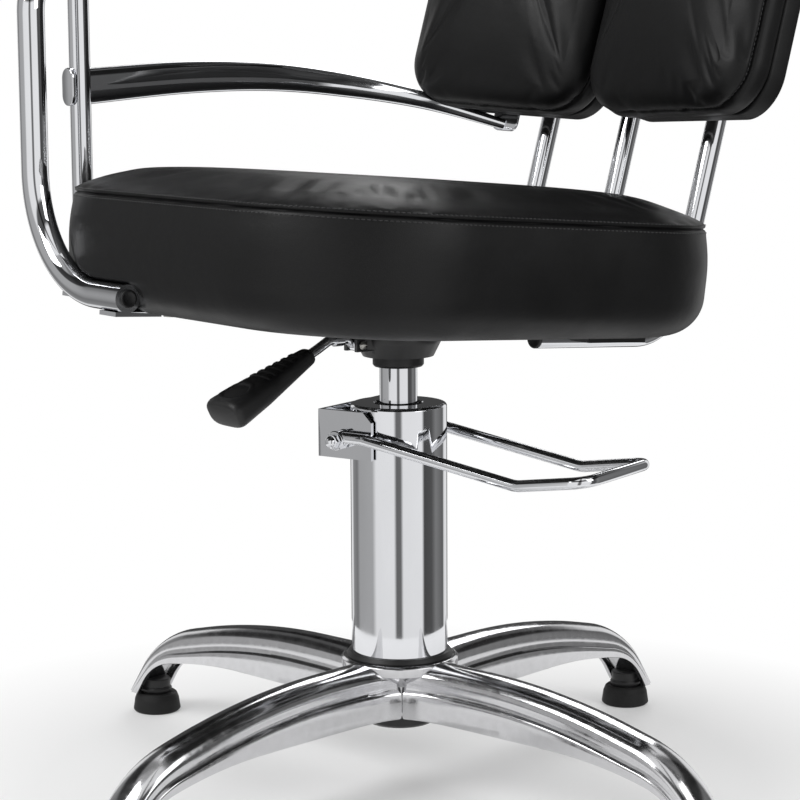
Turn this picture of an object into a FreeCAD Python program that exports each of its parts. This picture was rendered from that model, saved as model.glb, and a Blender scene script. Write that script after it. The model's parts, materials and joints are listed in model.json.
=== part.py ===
import FreeCAD, Part
import os
from math import sin, cos, tan, radians, pi
from FreeCAD import Vector, Rotation, Placement
import Sketcher

# Threading chair on a four legged cast base with a foot pumped column.
# Millimetres, +Z up. The origin is on the floor on the column's axis.
# The sitter faces -Y and the sitter's left hand is on the +X side.

doc = FreeCAD.newDocument("ThreadingChair")
sheet = doc.addObject("Spreadsheet::Sheet", "Sizes")

# Driving sizes: alias, value, what it is.
DRIVING = [
    ("run_clearance", 0.05, "radial clearance of a turning or sliding fit"),
    ("seat_gap", 0.3, "gap between pieces that only lie beside each other"),
    ("cut_over", 2, "overrun of a cut past the face it opens"),
    ("star_turn", 9, "turn of the base under the seat, degrees"),
    ("foot_centre", 348, "radius from the axis to each foot"),
    ("foot_radius", 22.5, "radius of a foot at the floor"),
    ("foot_height", 20, "height of a foot glide"),
    ("stem_radius", 11.5, "radius of the black neck above a glide"),
    ("stud_radius", 5, "radius of the threaded stud of a foot"),
    ("stud_length", 14, "length of the stud in the leg's boss"),
    ("stem_height", 14, "height of the neck above a glide"),
    ("boss_height", 28, "height of the boss that takes a foot's stud"),
    ("crown_half", 20, "half width of a leg's crown"),
    ("skirt_half", 24, "half width of a leg's skirt"),
    ("crown_round", 15, "rounding of a leg's crown"),
    ("ledge_round", 3, "rounding of the ledge along a leg"),
    ("leg_wall", 4.5, "wall of a leg's skirt"),
    ("hub_radius", 55, "radius of the base's hub at its top rim"),
    ("hub_body_radius", 40, "radius of the hub between the legs"),
    ("hub_top", 121, "height of the hub's top face"),
    ("hub_low", 70, "height of the hub's lower face"),
    ("lock_ring_radius", 34, "radius of the ring under the hub"),
    ("lock_ring_low", 57, "height of the ring's lower face"),
    ("cylinder_radius", 30, "radius of the pump's inner cylinder"),
    ("cover_radius", 45, "radius of the chromed pump cover"),
    ("cover_wall", 2, "wall of the pump cover"),
    ("cover_top", 360, "height of the cover's top face"),
    ("cover_mouth_radius", 22.5, "radius of the hole in the cover's top"),
    ("ring_radius", 50, "radius of the ring between hub and cover"),
    ("ring_height", 5, "height of that ring"),
    ("cover_lid", 4, "thickness of the cover's top"),
    ("cover_round", 3.5, "rounding of the cover's top edge"),
    ("guide_depth", 14, "depth of the piston guide below the cover's top"),
    ("guide_flange", 36, "radius of the piston guide's flange"),
    ("cylinder_bore", 20, "radius of the inner cylinder's bore"),
    ("head_disc", 10, "height of the piston's head"),
    ("stem_seat", 8, "depth of a stud in its glide"),
    ("piston_radius", 17.5, "radius of the polished piston"),
    ("piston_top", 422, "height of the piston's top"),
    ("piston_foot", 215, "height of the piston's lower end"),
    ("collar_radius", 23.8, "radius of the collar on the piston"),
    ("collar_low", 394, "height of the collar's lower face"),
    ("collar_height", 10, "height of the collar"),
    ("housing_low_radius", 33, "lower radius of the tilt housing's cone"),
    ("housing_top_radius", 41, "upper radius of the tilt housing's cone"),
    ("housing_cone", 16, "height of the cone"),
    ("housing_rim", 6, "height of the straight rim above the cone"),
    ("tilt_pin_radius", 3, "radius of the tilt pin"),
    ("tilt_pin_back", 30, "distance of the tilt pin behind the axis"),
    ("tilt_pin_height", 431.5, "height of the tilt pin"),
    ("tilt_pin_head", 2, "thickness of the tilt pin's heads"),
    ("ear_inner", 24, "half distance between the housing's ears"),
    ("ear_wall", 5, "thickness of an ear"),
    ("ear_radius", 4.5, "radius of an ear's round end"),
    ("bumper_radius", 8, "radius of the rubber bumpers under the seat plate"),
    ("bumper_forward", 28, "distance of the bumpers before the axis"),
    ("bumper_side", 18, "distance of the bumpers from the middle"),
    ("lug_wall", 4, "thickness of a lug of the seat plate"),
    ("seat_tilt", 4, "backward lean of the seat at rest, degrees"),
    ("seat_centre", 18, "distance of the seat's centre before the axis"),
    ("seat_low", 444, "height of the seat's underside at its centre"),
    ("seat_width", 500, "width of the seat cushion"),
    ("seat_depth", 500, "depth of the seat cushion"),
    ("seat_corner", 150, "corner radius of the seat cushion"),
    ("seat_seam", 90, "height of the seam above the underside"),
    ("seat_thick", 116, "height of the seat's crown above the underside"),
    ("board_thick", 12, "thickness of the seat board"),
    ("plate_thick", 3, "thickness of the seat plate"),
    ("plate_size", 120, "side of the square seat plate"),
    ("plate_pitch", 96, "distance between the seat plate's screws"),
    ("screw_radius", 3, "radius of the screws' shanks"),
    ("screw_head", 5.5, "radius of the screws' heads"),
    ("screw_head_thick", 3.5, "height of the screws' heads"),
    ("screw_bite", 9, "depth of the screws in the boards"),
    ("board_corner", 105, "corner radius of the seat board"),
    ("plate_corner", 12, "corner radius of the seat plate"),
    ("lug_radius", 5, "radius of a seat plate lug's round end"),
    ("board_inset", 45, "inset of the seat board from the cushion's edge"),
    ("pedal_turn", 18, "turn of the pedal behind the left side, degrees"),
    ("pedal_half", 58, "half distance between the pedal's arms"),
    ("pedal_rod", 5.25, "radius of the pedal's rod"),
    ("pedal_pivot_back", 28, "distance of the pedal's pivot behind the axis"),
    ("pedal_pivot_height", 330, "height of the pedal's pivot"),
    ("pedal_reach", 232, "distance of the tread before the axis"),
    ("pedal_kink", 162, "distance of the pedal's kink before the axis"),
    ("bracket_gap", 2, "gap between the cover and a bracket cheek"),
    ("bracket_wall", 4, "wall of the pedal bracket"),
    ("eye_radius", 9, "radius of the pedal's eyes"),
    ("pivot_radius", 4, "radius of the pedal's pivot bolts"),
    ("nut_height", 9, "height of the pivots' cap nuts"),
    ("pedal_drop", 24, "drop of the pedal's kink below its pivot"),
    ("pedal_rise", 10, "rise of the tread above the kink"),
    ("lever_rod_radius", 4.5, "radius of the lever's rod"),
    ("lever_pin_forward", 49, "distance of the lever's pin before the axis"),
    ("lever_pin_height", 418, "height of the lever's pin"),
    ("lever_pin_radius", 2.5, "radius of the lever's pin"),
    ("lever_eye", 6, "radius of the lever's eye"),
    ("lug_inner", 6, "half distance between the lever's lugs"),
    ("lug_out", 4, "thickness of a lug of the lever"),
    ("lug_reach", 6, "distance of the lugs' front before the lever's pin"),
    ("grip_length", 112, "length of the lever's grip"),
    ("grip_wide", 50, "width of the grip's end"),
    ("grip_narrow", 18, "width of the grip where the rod goes in"),
    ("grip_thick", 25, "thickness of the grip's end"),
    ("arm_tube_radius", 12.5, "radius of the front arm tube"),
    ("arm_side", 200, "distance of the front arm tube from the middle"),
    ("arm_front", 263, "distance of the front arm tube before the axis"),
    ("arm_bend", 105, "bend radius of the front arm tube"),
    ("arm_low", 471, "height of the front arm tube's lower run"),
    ("arm_end", 44, "distance of the tube's end from the middle"),
    ("arm_top", 752, "height of the arm frame's top run"),
    ("tube_wall", 1.6, "wall of the tubes"),
    ("post_radius", 10, "radius of the rear arm post"),
    ("post_side", 250, "distance of the rear arm post from the middle"),
    ("post_front", 184, "distance of the rear arm post before the axis"),
    ("rail_height", 650, "height of the rail's front end"),
    ("rail_tall", 34, "height of the rail's front section"),
    ("rail_thin", 14, "width of the rail's section"),
    ("cap_thick", 4, "thickness of the oval cap on the post"),
    ("strap_thick", 4, "thickness of the straps under the seat"),
    ("strap_wide", 36, "width of the straps under the seat"),
    ("rail_end_side", 141, "distance of the rail's rear end from the panel's inner edge"),
    ("rail_end_drop", 16, "drop of the rail's rear end below the backrest"),
    ("rail_bolt", 52, "length of the hole for the rail's bolt"),
    ("panel_gap", 12.8, "distance of the backing plates before the back tubes' axis"),
    ("cap_long", 36, "height of the oval cap on the post"),
    ("cap_short", 20, "width of the oval cap on the post"),
    ("pad_board", 6, "thickness of the arm pad's board above the tube"),
    ("plug_length", 9, "depth of a tube's end plug"),
    ("plug_rim", 2.5, "thickness of a plug's rim"),
    ("run_bend", 35, "bend radius of the arm frame's top"),
    ("arm_back", 70, "distance of the top run's end behind the axis"),
    ("run_start", 205, "distance of the top run's bend before the axis"),
    ("pad_length", 235, "length of the arm pad"),
    ("pad_width", 62, "width of the arm pad"),
    ("pad_thick", 26, "thickness of the arm pad"),
    ("seat_crease", 2, "depth of the seat cushion's seam"),
    ("groove_gap", 0.8, "gap round the arm tube in the cushion"),
    ("back_tube_low", -12.5, "level of the back tubes under the seat board"),
    ("back_tube_start", 85, "distance of the back tubes' ends behind the seat's centre"),
    ("back_tube_top", 380, "length of the back tubes above the backrest's lower edge"),
    ("back_plate_front", 120, "front of the plate that holds the back tubes"),
    ("back_plate_depth", 70, "depth of the plate that holds the back tubes"),
    ("back_plate_half", 150, "half width of the plate that holds the back tubes"),
    ("back_tube_radius", 9.5, "radius of the backrest's tubes"),
    ("back_lean", 16.5, "lean of the backrest, degrees"),
    ("back_tube_behind", 262, "distance of the back tubes behind the axis"),
    ("back_tube_bend", 55, "bend radius of the back tubes"),
    ("back_pitch", 117, "distance between the back tubes"),
    ("back_foot", 292, "distance of the back tubes behind the axis at the backrest's foot"),
    ("back_low", 612, "height of the backrest's lower edge"),
    ("back_height", 400, "length of the backrest along its lean"),
    ("back_half", 246, "half width of the backrest"),
    ("back_split", 20, "gap between the two back cushions"),
    ("back_wrap", 8, "turn of each back cushion towards the sitter, degrees"),
    ("panel_thick", 20, "thickness of a backing panel"),
    ("back_pad_thick", 62, "thickness of a back cushion"),
    ("back_corner", 46, "corner radius of a back cushion"),
    ("panel_inset", 8, "inset of a backing panel from its cushion's edge"),
    ("back_crown", 14, "rise of a back cushion's crown"),
    ("wing_reach", 34, "reach of the joint plate over each backing panel"),
    ("wing_flat", 7, "half width of the joint plate's middle"),
    ("spacer_radius", 8, "radius of the spacers between tubes and panels"),
    ("guide_up", 360, "height of the headrest's guides above the backrest's foot"),
    ("guide_half", 19, "half size of a guide block"),
    ("block_depth", 18, "depth of a guide block"),
    ("stem_below", 110, "length of a headrest stem below its guide's middle"),
    ("head_up", 520, "height of the headrest's middle above the backrest's foot"),
    ("head_board", 10, "thickness of the headrest's board"),
    ("head_width", 270, "width of the headrest"),
    ("head_height", 120, "height of the headrest"),
    ("head_thick", 70, "thickness of the headrest's cushion"),
    ("head_stem_radius", 6, "radius of the headrest's stems"),
    ("head_stem_half", 60, "half distance between the stems"),
]
for row, (alias, value, meaning) in enumerate(DRIVING, start=1):
    sheet.set("A%d" % row, alias)
    sheet.set("B%d" % row, str(value))
    sheet.set("C%d" % row, meaning)
    sheet.setAlias("B%d" % row, alias)
doc.recompute()


def size(alias):
    return float(sheet.get(alias))


NODES = []
UP = Vector(0, 0, 1)


def keep(obj, label):
    # Marks an object of the document as one of the chair's pieces.
    obj.Label = label
    NODES.append(obj)
    return obj


def made(label, shape, place=None):
    obj = doc.addObject("Part::Feature", label)
    obj.Shape = shape
    if place is not None:
        obj.Placement = place
    return keep(obj, label)


def turned(label, outline, final=True):
    # A body turned about Z from an outline of (radius, height) expressions.
    body = doc.addObject("PartDesign::Body", label)
    plane = [o for o in body.Origin.OriginFeatures if o.Role == "XZ_Plane"][0]
    sketch = body.newObject("Sketcher::SketchObject", label + "_outline")
    sketch.AttachmentSupport = [(plane, "")]
    sketch.MapMode = "FlatFace"
    count = len(outline)
    for i in range(count):
        a, b = 2 * pi * i / count, 2 * pi * (i + 1) / count
        start = Vector(2 + cos(a), 2 + sin(a), 0)
        end = Vector(2 + cos(b), 2 + sin(b), 0)
        sketch.addGeometry(Part.LineSegment(start, end), False)
    for i in range(count):
        sketch.addConstraint(Sketcher.Constraint("Coincident", i, 2, (i + 1) % count, 1))
    for i, (radius, height) in enumerate(outline):
        if radius == "0":
            sketch.addConstraint(Sketcher.Constraint("PointOnObject", i, 1, -2))
        else:
            k = sketch.addConstraint(Sketcher.Constraint("DistanceX", -1, 1, i, 1, 1.0))
            sketch.setExpression("Constraints[%d]" % k, radius)
        k = sketch.addConstraint(Sketcher.Constraint("DistanceY", -1, 1, i, 1, 1.0))
        sketch.setExpression("Constraints[%d]" % k, height)
    spin = body.newObject("PartDesign::Revolution", label + "_turn")
    spin.Profile = sketch
    spin.ReferenceAxis = (sketch, ["V_Axis"])
    spin.Angle = 360
    body.Tip = spin
    if final:
        keep(body, label)
    return body


def round_rod(start, end, radius):
    axis = end - start
    return Part.makeCylinder(radius, axis.Length, start, axis)


def path(points, radii):
    # Straight runs through the points, joined by tangent arcs.
    edges = []
    here = points[0]
    for i in range(1, len(points) - 1):
        corner = points[i]
        a = (corner - points[i - 1]).normalize()
        b = (points[i + 1] - corner).normalize()
        turn = a.getAngle(b)
        bend = radii[i - 1]
        reach = bend * tan(turn / 2)
        inward = (b - a).normalize()
        middle = corner + inward * (bend / cos(turn / 2) - bend)
        first, last = corner - a * reach, corner + b * reach
        edges.append(Part.LineSegment(here, first).toShape())
        edges.append(Part.Arc(first, middle, last).toShape())
        here = last
    edges.append(Part.LineSegment(here, points[-1]).toShape())
    return Part.Wire(edges)


def bent_rod(points, radii, radius):
    spine = path(points, radii)
    start = Part.Circle(points[0], points[1] - points[0], radius).toShape()
    return spine.makePipeShell([Part.Wire([start])], True, False)


def bent_tube(points, radii, radius, wall):
    outer = bent_rod(points, radii, radius)
    first = (points[0] - points[1]).normalize()
    last = (points[-1] - points[-2]).normalize()
    long_points = [points[0] + first * size("cut_over")] + points[1:-1]
    long_points.append(points[-1] + last * size("cut_over"))
    return outer.cut(bent_rod(long_points, radii, radius - wall))


def rounded(width, depth, corner, z, x=0.0, y=0.0):
    # A closed outline of a rectangle with round corners, at one height.
    w, d = width / 2 - corner, depth / 2 - corner
    r, q = corner, corner * cos(pi / 4)
    edges = []
    corners = [(w, -d, 1, -1), (w, d, 1, 1), (-w, d, -1, 1), (-w, -d, -1, -1)]
    ends = []
    for cx, cy, sx, sy in corners:
        side = Vector(x + cx + sx * r, y + cy, z)
        far = Vector(x + cx, y + cy + sy * r, z)
        mid = Vector(x + cx + sx * q, y + cy + sy * q, z)
        ends.append((side, mid, far) if sx * sy > 0 else (far, mid, side))
    for i in range(4):
        start, mid, end = ends[i]
        edges.append(Part.Arc(start, mid, end).toShape())
        edges.append(Part.LineSegment(end, ends[(i + 1) % 4][0]).toShape())
    return Part.Wire(edges)


def rounded_block(width, depth, corner, low, height, x=0.0, y=0.0):
    face = Part.Face(rounded(width, depth, corner, low, x, y))
    return face.extrude(Vector(0, 0, height))


def at_height(solid, height):
    # A block's edges that lie flat at one height.
    found = []
    for edge in solid.Edges:
        span = edge.BoundBox
        if span.ZLength < size("run_clearance") and abs(span.ZMax - height) < size("run_clearance"):
            found.append(edge)
    return found


def soft_block(width, depth, corner, low, high, low_round, high_round, inset=0.0):
    # A padded block with round lower and upper edges, drawn in by an inset.
    block = rounded_block(width - 2 * inset, depth - 2 * inset, corner - inset, low, high - low)
    block = block.makeFillet(low_round, at_height(block, low))
    return block.makeFillet(high_round, at_height(block, high))


def dome(width, depth, corner, levels):
    # A shallow crown through drawn-in outlines: (height, inset) pairs.
    wires = []
    for height, inset in levels:
        bend = max(corner - inset, corner / 4)
        wires.append(rounded(width - 2 * inset, depth - 2 * inset, bend, height))
    return Part.makeLoft(wires, True, True)


# The base: a turned hub with four cast legs.
hub = turned("hub_turning", [
    ("Sizes.cylinder_radius", "Sizes.hub_low"),
    ("Sizes.hub_body_radius - Sizes.cover_wall", "Sizes.hub_low"),
    ("Sizes.hub_body_radius", "Sizes.hub_low + Sizes.cover_wall"),
    ("Sizes.hub_body_radius", "Sizes.hub_top - Sizes.ring_height * 3"),
    ("Sizes.hub_radius", "Sizes.hub_top - Sizes.ring_height * 1.5"),
    ("Sizes.hub_radius", "Sizes.hub_top - Sizes.cover_wall"),
    ("Sizes.hub_radius - Sizes.cover_wall", "Sizes.hub_top"),
    ("Sizes.cylinder_radius", "Sizes.hub_top"),
], final=False)
doc.recompute()

# A leg's side outlines, as shares of the foot's radius and the hub's height,
# with the bend at each inner corner as a share of the foot's radius.
CROWN_SHARES = [(0.10, 1.0), (0.54, 1.0), (0.955, 0.71), (1.068, 0.175)]
CROWN_BEND_SHARES = [2.0, 0.31]
BELLY_SHARES = [(1.01, 0.175), (0.945, 0.46), (0.72, 0.595), (0.10, 0.58)]
BELLY_BEND_SHARES = [0.17, 1.4]
LEDGE_SHARES = [(0.24, 0.80), (0.54, 0.80), (0.93, 0.55), (1.032, 0.20)]
LEDGE_BEND_SHARES = [1.9, 0.23]
HOLLOW_SHARES = [(0.25, 0.86), (0.54, 0.86), (0.925, 0.58), (1.034, 0.10)]
HOLLOW_BEND_SHARES = [1.9, 0.24]


def side_outline(shares, bend_shares):
    foot, top = size("foot_centre"), size("hub_top")
    points = [Vector(foot * a, 0, top * b) for a, b in shares]
    return path(points, [foot * s for s in bend_shares])


def slab(outline, corners, half):
    # A side outline closed through corners, thickened to both sides.
    start = outline.Vertexes[0].Point
    here = outline.Vertexes[-1].Point
    edges = list(outline.Edges)
    for corner in corners + [start]:
        edges.append(Part.LineSegment(here, corner).toShape())
        here = corner
    face = Part.Face(Part.Wire(edges))
    face.translate(Vector(0, -half, 0))
    return face.extrude(Vector(0, 2 * half, 0))


def top_edges(solid, outline, half):
    # A slab's edges that lie along an outline, on both of its sides.
    found = []
    for edge in solid.Edges:
        middle = edge.valueAt((edge.FirstParameter + edge.LastParameter) / 2)
        side = abs(abs(middle.y) - half)
        flat = Part.Vertex(Vector(middle.x, 0, middle.z))
        if side < half / 100 and outline.distToShape(flat)[0] < half / 100:
            found.append(edge)
    return found


def leg():
    crown_half, skirt = size("crown_half"), size("skirt_half")
    crown = side_outline(CROWN_SHARES, CROWN_BEND_SHARES)
    belly = side_outline(BELLY_SHARES, BELLY_BEND_SHARES)
    ledge = side_outline(LEDGE_SHARES, LEDGE_BEND_SHARES)
    hollow = side_outline(HOLLOW_SHARES, HOLLOW_BEND_SHARES)

    def closed(outline, half):
        low = belly.Edges
        start, end = belly.Vertexes[0].Point, belly.Vertexes[-1].Point
        first, last = outline.Vertexes[0].Point, outline.Vertexes[-1].Point
        edges = list(outline.Edges) + [Part.LineSegment(last, start).toShape()]
        edges += list(low) + [Part.LineSegment(end, first).toShape()]
        face = Part.Face(Part.Wire(edges))
        face.translate(Vector(0, -half, 0))
        return face.extrude(Vector(0, 2 * half, 0))

    bar = closed(crown, crown_half)
    bar = bar.makeFillet(size("crown_round"), top_edges(bar, crown, crown_half))
    sides = closed(ledge, skirt)
    sides = sides.makeChamfer(size("ledge_round"), top_edges(sides, ledge, skirt))
    under = -size("cut_over")
    near, far = hollow.Vertexes[0].Point, hollow.Vertexes[-1].Point
    space = slab(hollow, [Vector(far.x, 0, under), Vector(near.x, 0, under)],
                 skirt - size("leg_wall"))
    boss_low = size("foot_height") + size("stem_height")
    middle = Vector(size("foot_centre"), 0, boss_low)
    boss = Part.makeCylinder(size("stem_radius"), size("boss_height"), middle, UP)
    hole = Part.makeCylinder(size("stud_radius") + size("run_clearance"),
                             size("stud_length") + size("cut_over"), middle, UP)
    relief = Part.makeCylinder(size("stem_radius") + size("seat_gap"), boss_low,
                               Vector(size("foot_centre"), 0, 0), UP)
    casting = bar.fuse(sides).cut(space).cut(relief)
    return casting.fuse(boss).cut(hole)


one_leg = leg()


# The base: four legs on the hub, bored for the pump's cylinder.
def star():
    shape = hub.Shape.copy()
    turn = Placement(Vector(), Rotation(UP, size("star_turn")))
    shape.Placement = turn
    for i in range(4):
        spoke = one_leg.copy()
        spoke.Placement = Placement(Vector(), Rotation(UP, size("star_turn") + 90 * i))
        shape = shape.fuse(spoke)
    bore = Part.makeCylinder(size("cylinder_radius") + size("run_clearance"), size("hub_top"))
    return shape.cut(bore)


made("star_base", star())


def foot_places():
    out = []
    for i in range(4):
        angle = radians(size("star_turn") + 90 * i)
        out.append(Vector(size("foot_centre") * cos(angle), size("foot_centre") * sin(angle), 0))
    return out


def group(shapes):
    solids = []
    for shape in shapes:
        solids += shape.Solids
    return Part.makeCompound(solids)


def glide(place):
    low, high = size("foot_radius"), size("stem_radius") * 1.5
    body = Part.makeCone(low, high, size("foot_height"), place)
    socket_low = size("foot_height") - size("stem_seat")
    hole = Part.makeCylinder(size("stud_radius") + size("run_clearance"), size("foot_height"),
                             place + Vector(0, 0, socket_low))
    return body.cut(hole)


def stem(place):
    low = place + Vector(0, 0, size("foot_height"))
    neck = Part.makeCylinder(size("stem_radius"), size("stem_height"), low)
    stud_low = place + Vector(0, 0, size("foot_height") - size("stem_seat"))
    length = size("stem_seat") + size("stem_height") + size("stud_length")
    return neck.fuse(Part.makeCylinder(size("stud_radius"), length, stud_low))


made("foot_glides", group([glide(p) for p in foot_places()]))
made("foot_stems", group([stem(p) for p in foot_places()]))

# The pump: lock ring, inner cylinder, cover, seal ring and piston guide.
turned("pump_lock_ring", [
    ("Sizes.cylinder_radius + Sizes.run_clearance", "Sizes.lock_ring_low"),
    ("Sizes.lock_ring_radius - Sizes.cover_wall", "Sizes.lock_ring_low"),
    ("Sizes.lock_ring_radius", "Sizes.lock_ring_low + Sizes.cover_wall"),
    ("Sizes.lock_ring_radius", "Sizes.hub_low"),
    ("Sizes.cylinder_radius + Sizes.run_clearance", "Sizes.hub_low"),
])
turned("pump_cylinder", [
    ("0", "Sizes.lock_ring_low + Sizes.cover_wall"),
    ("Sizes.cylinder_radius", "Sizes.lock_ring_low + Sizes.cover_wall"),
    ("Sizes.cylinder_radius", "Sizes.cover_top - Sizes.guide_depth"),
    ("Sizes.cylinder_bore", "Sizes.cover_top - Sizes.guide_depth"),
    ("Sizes.cylinder_bore", "Sizes.hub_low + Sizes.cover_wall"),
    ("0", "Sizes.hub_low + Sizes.cover_wall"),
])
cover = turned("pump_cover", [
    ("Sizes.cover_radius - Sizes.cover_wall", "Sizes.hub_top"),
    ("Sizes.cover_radius", "Sizes.hub_top"),
    ("Sizes.cover_radius", "Sizes.cover_top"),
    ("Sizes.cover_mouth_radius", "Sizes.cover_top"),
    ("Sizes.cover_mouth_radius", "Sizes.cover_top - Sizes.cover_lid"),
    ("Sizes.cover_radius - Sizes.cover_wall", "Sizes.cover_top - Sizes.cover_lid"),
])
turned("base_ring", [
    ("Sizes.cover_radius + Sizes.run_clearance", "Sizes.hub_top"),
    ("Sizes.ring_radius", "Sizes.hub_top"),
    ("Sizes.ring_radius", "Sizes.hub_top + Sizes.ring_height / 2"),
    ("Sizes.cover_radius + Sizes.cover_wall", "Sizes.hub_top + Sizes.ring_height"),
    ("Sizes.cover_radius + Sizes.run_clearance", "Sizes.hub_top + Sizes.ring_height"),
])
turned("piston_guide", [
    ("Sizes.piston_radius + Sizes.run_clearance", "Sizes.cover_top - Sizes.guide_depth"),
    ("Sizes.guide_flange", "Sizes.cover_top - Sizes.guide_depth"),
    ("Sizes.guide_flange", "Sizes.cover_top - Sizes.cover_lid"),
    ("Sizes.cover_mouth_radius - Sizes.run_clearance", "Sizes.cover_top - Sizes.cover_lid"),
    ("Sizes.cover_mouth_radius - Sizes.run_clearance", "Sizes.cover_top - Sizes.cover_lid / 3"),
    ("Sizes.piston_radius + Sizes.run_clearance", "Sizes.cover_top - Sizes.cover_lid"),
])
turned("piston", [
    ("0", "Sizes.piston_foot"),
    ("Sizes.piston_radius", "Sizes.piston_foot"),
    ("Sizes.piston_radius", "Sizes.piston_top - Sizes.cover_wall"),
    ("Sizes.piston_radius - Sizes.cover_wall", "Sizes.piston_top"),
    ("0", "Sizes.piston_top"),
])
turned("piston_head", [
    ("0", "Sizes.piston_foot - Sizes.head_disc"),
    ("Sizes.cylinder_bore - Sizes.run_clearance", "Sizes.piston_foot - Sizes.head_disc"),
    ("Sizes.cylinder_bore - Sizes.run_clearance", "Sizes.piston_foot"),
    ("0", "Sizes.piston_foot"),
])
turned("piston_collar", [
    ("Sizes.piston_radius + Sizes.run_clearance", "Sizes.collar_low"),
    ("Sizes.collar_radius - Sizes.cover_wall", "Sizes.collar_low"),
    ("Sizes.collar_radius", "Sizes.collar_low + Sizes.cover_wall"),
    ("Sizes.collar_radius", "Sizes.collar_low + Sizes.collar_height"),
    ("Sizes.piston_radius + Sizes.run_clearance", "Sizes.collar_low + Sizes.collar_height"),
])
doc.recompute()


def round_edges(body, radius, height, amount):
    # Rounds a turned body's circular edge at a radius and a height.
    base = body.Tip
    names = []
    for i, edge in enumerate(base.Shape.Edges, start=1):
        box = edge.BoundBox
        same_height = abs(box.ZMax - height) < size("run_clearance") and box.ZLength < size("run_clearance")
        if same_height and abs(box.XMax - radius) < size("run_clearance"):
            names.append("Edge%d" % i)
    fillet = body.newObject("PartDesign::Fillet", body.Label + "_rounding")
    fillet.Base = (base, names)
    fillet.setExpression("Radius", amount)
    body.Tip = fillet


round_edges(cover, size("cover_radius"), size("cover_top"), "Sizes.cover_round")

# The tilt housing: a cone on the piston, two ears behind for the tilt pin
# and two lugs in front for the lever.
housing = turned("housing_turning", [
    ("Sizes.piston_radius + Sizes.run_clearance", "Sizes.collar_low + Sizes.collar_height"),
    ("Sizes.housing_low_radius", "Sizes.collar_low + Sizes.collar_height"),
    ("Sizes.housing_top_radius", "Sizes.collar_low + Sizes.collar_height + Sizes.housing_cone"),
    ("Sizes.housing_top_radius",
     "Sizes.collar_low + Sizes.collar_height + Sizes.housing_cone + Sizes.housing_rim"),
    ("0", "Sizes.collar_low + Sizes.collar_height + Sizes.housing_cone + Sizes.housing_rim"),
    ("0", "Sizes.piston_top + Sizes.seat_gap"),
    ("Sizes.piston_radius + Sizes.run_clearance", "Sizes.piston_top + Sizes.seat_gap"),
], final=False)
doc.recompute()
HOUSING_TOP = size("collar_low") + size("collar_height") + size("housing_cone") + size("housing_rim")


def box(x0, x1, y0, y1, z0, z1):
    return Part.makeBox(x1 - x0, y1 - y0, z1 - z0, Vector(x0, y0, z0))


def cross_rod(x0, x1, y, z, radius):
    return Part.makeCylinder(radius, x1 - x0, Vector(x0, y, z), Vector(1, 0, 0))


def tilt_housing():
    shape = housing.Shape.copy()
    back, height, rim = size("tilt_pin_back"), size("tilt_pin_height"), size("ear_radius")
    root = HOUSING_TOP - size("housing_rim")
    for side in (-1, 1):
        near = side * size("ear_inner")
        far = near + side * size("ear_wall")
        x0, x1 = min(near, far), max(near, far)
        shape = shape.fuse(box(x0, x1, back - rim, back + rim, root, height))
        shape = shape.fuse(cross_rod(x0, x1, back, height, rim))
    shape = shape.cut(cross_rod(-size("housing_top_radius"), size("housing_top_radius"), back,
                                height, size("tilt_pin_radius") + size("run_clearance")))
    pin_y, pin_z = -size("lever_pin_forward"), size("lever_pin_height")
    for side in (-1, 1):
        near = side * size("lug_inner")
        far = near + side * size("lug_out")
        x0, x1 = min(near, far), max(near, far)
        lug = box(x0, x1, pin_y - size("lug_reach"), -size("housing_low_radius"),
                  pin_z - size("lug_reach"), HOUSING_TOP)
        shape = shape.fuse(lug)
    reach = size("lug_inner") + size("lug_out") + size("cut_over")
    return shape.cut(cross_rod(-reach, reach, pin_y, pin_z,
                               size("lever_pin_radius") + size("run_clearance")))


made("tilt_housing", tilt_housing())


def headed_pin(half, y, z, radius, head):
    shape = cross_rod(-half, half, y, z, radius)
    for x0 in (-half - head, half):
        shape = shape.fuse(cross_rod(x0, x0 + head, y, z, radius * 1.6))
    return shape


pin_half = size("ear_inner") + size("ear_wall") + size("seat_gap") * 2 + size("lug_wall")
made("tilt_pin", headed_pin(pin_half, size("tilt_pin_back"), size("tilt_pin_height"),
                            size("tilt_pin_radius"), size("tilt_pin_head")))
made("lever_pin", headed_pin(size("lug_inner") + size("lug_out") + size("seat_gap"),
                             -size("lever_pin_forward"), size("lever_pin_height"),
                             size("lever_pin_radius"), size("tilt_pin_head")))

# The grip's stations: shares of its length, of its end's width and thickness.
GRIP_SHARES = [(0.0, 0.30, 0.50), (0.08, 0.36, 0.56), (0.62, 0.82, 0.86), (1.0, 1.0, 1.0)]
GRIP_RIBS = 6
RIB_START_SHARE = 0.14
RIB_PITCH_SHARE = 0.075
RIB_WIDTH_SHARE = 0.30
RIB_GROW_SHARE = 0.06
RIB_TOP_SHARE = 0.68
RIB_RISE_SHARE = 0.05

# The lever: an eye on the pin, a cranked rod, a bright sleeve and a grip.
LEVER_SHARES = [(1.0, 0.0), (1.22, 0.12), (1.62, 0.12), (1.88, -0.02), (2.5, -0.32)]


def lever_points():
    pin, height = size("lever_pin_forward"), size("lever_pin_height")
    return [Vector(0, -pin * a, height + pin * b) for a, b in LEVER_SHARES]


def lever_rod():
    points = lever_points()
    bend = size("lever_rod_radius") * 2
    shape = bent_rod(points, [bend, bend, bend], size("lever_rod_radius"))
    half = size("lug_inner") - size("seat_gap")
    eye = cross_rod(-half, half, points[0].y, points[0].z, size("lever_eye"))
    hole = cross_rod(-half - size("cut_over"), half + size("cut_over"), points[0].y, points[0].z,
                     size("lever_pin_radius") + size("run_clearance"))
    return shape.fuse(eye).cut(hole)


made("lever_rod", lever_rod())


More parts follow.
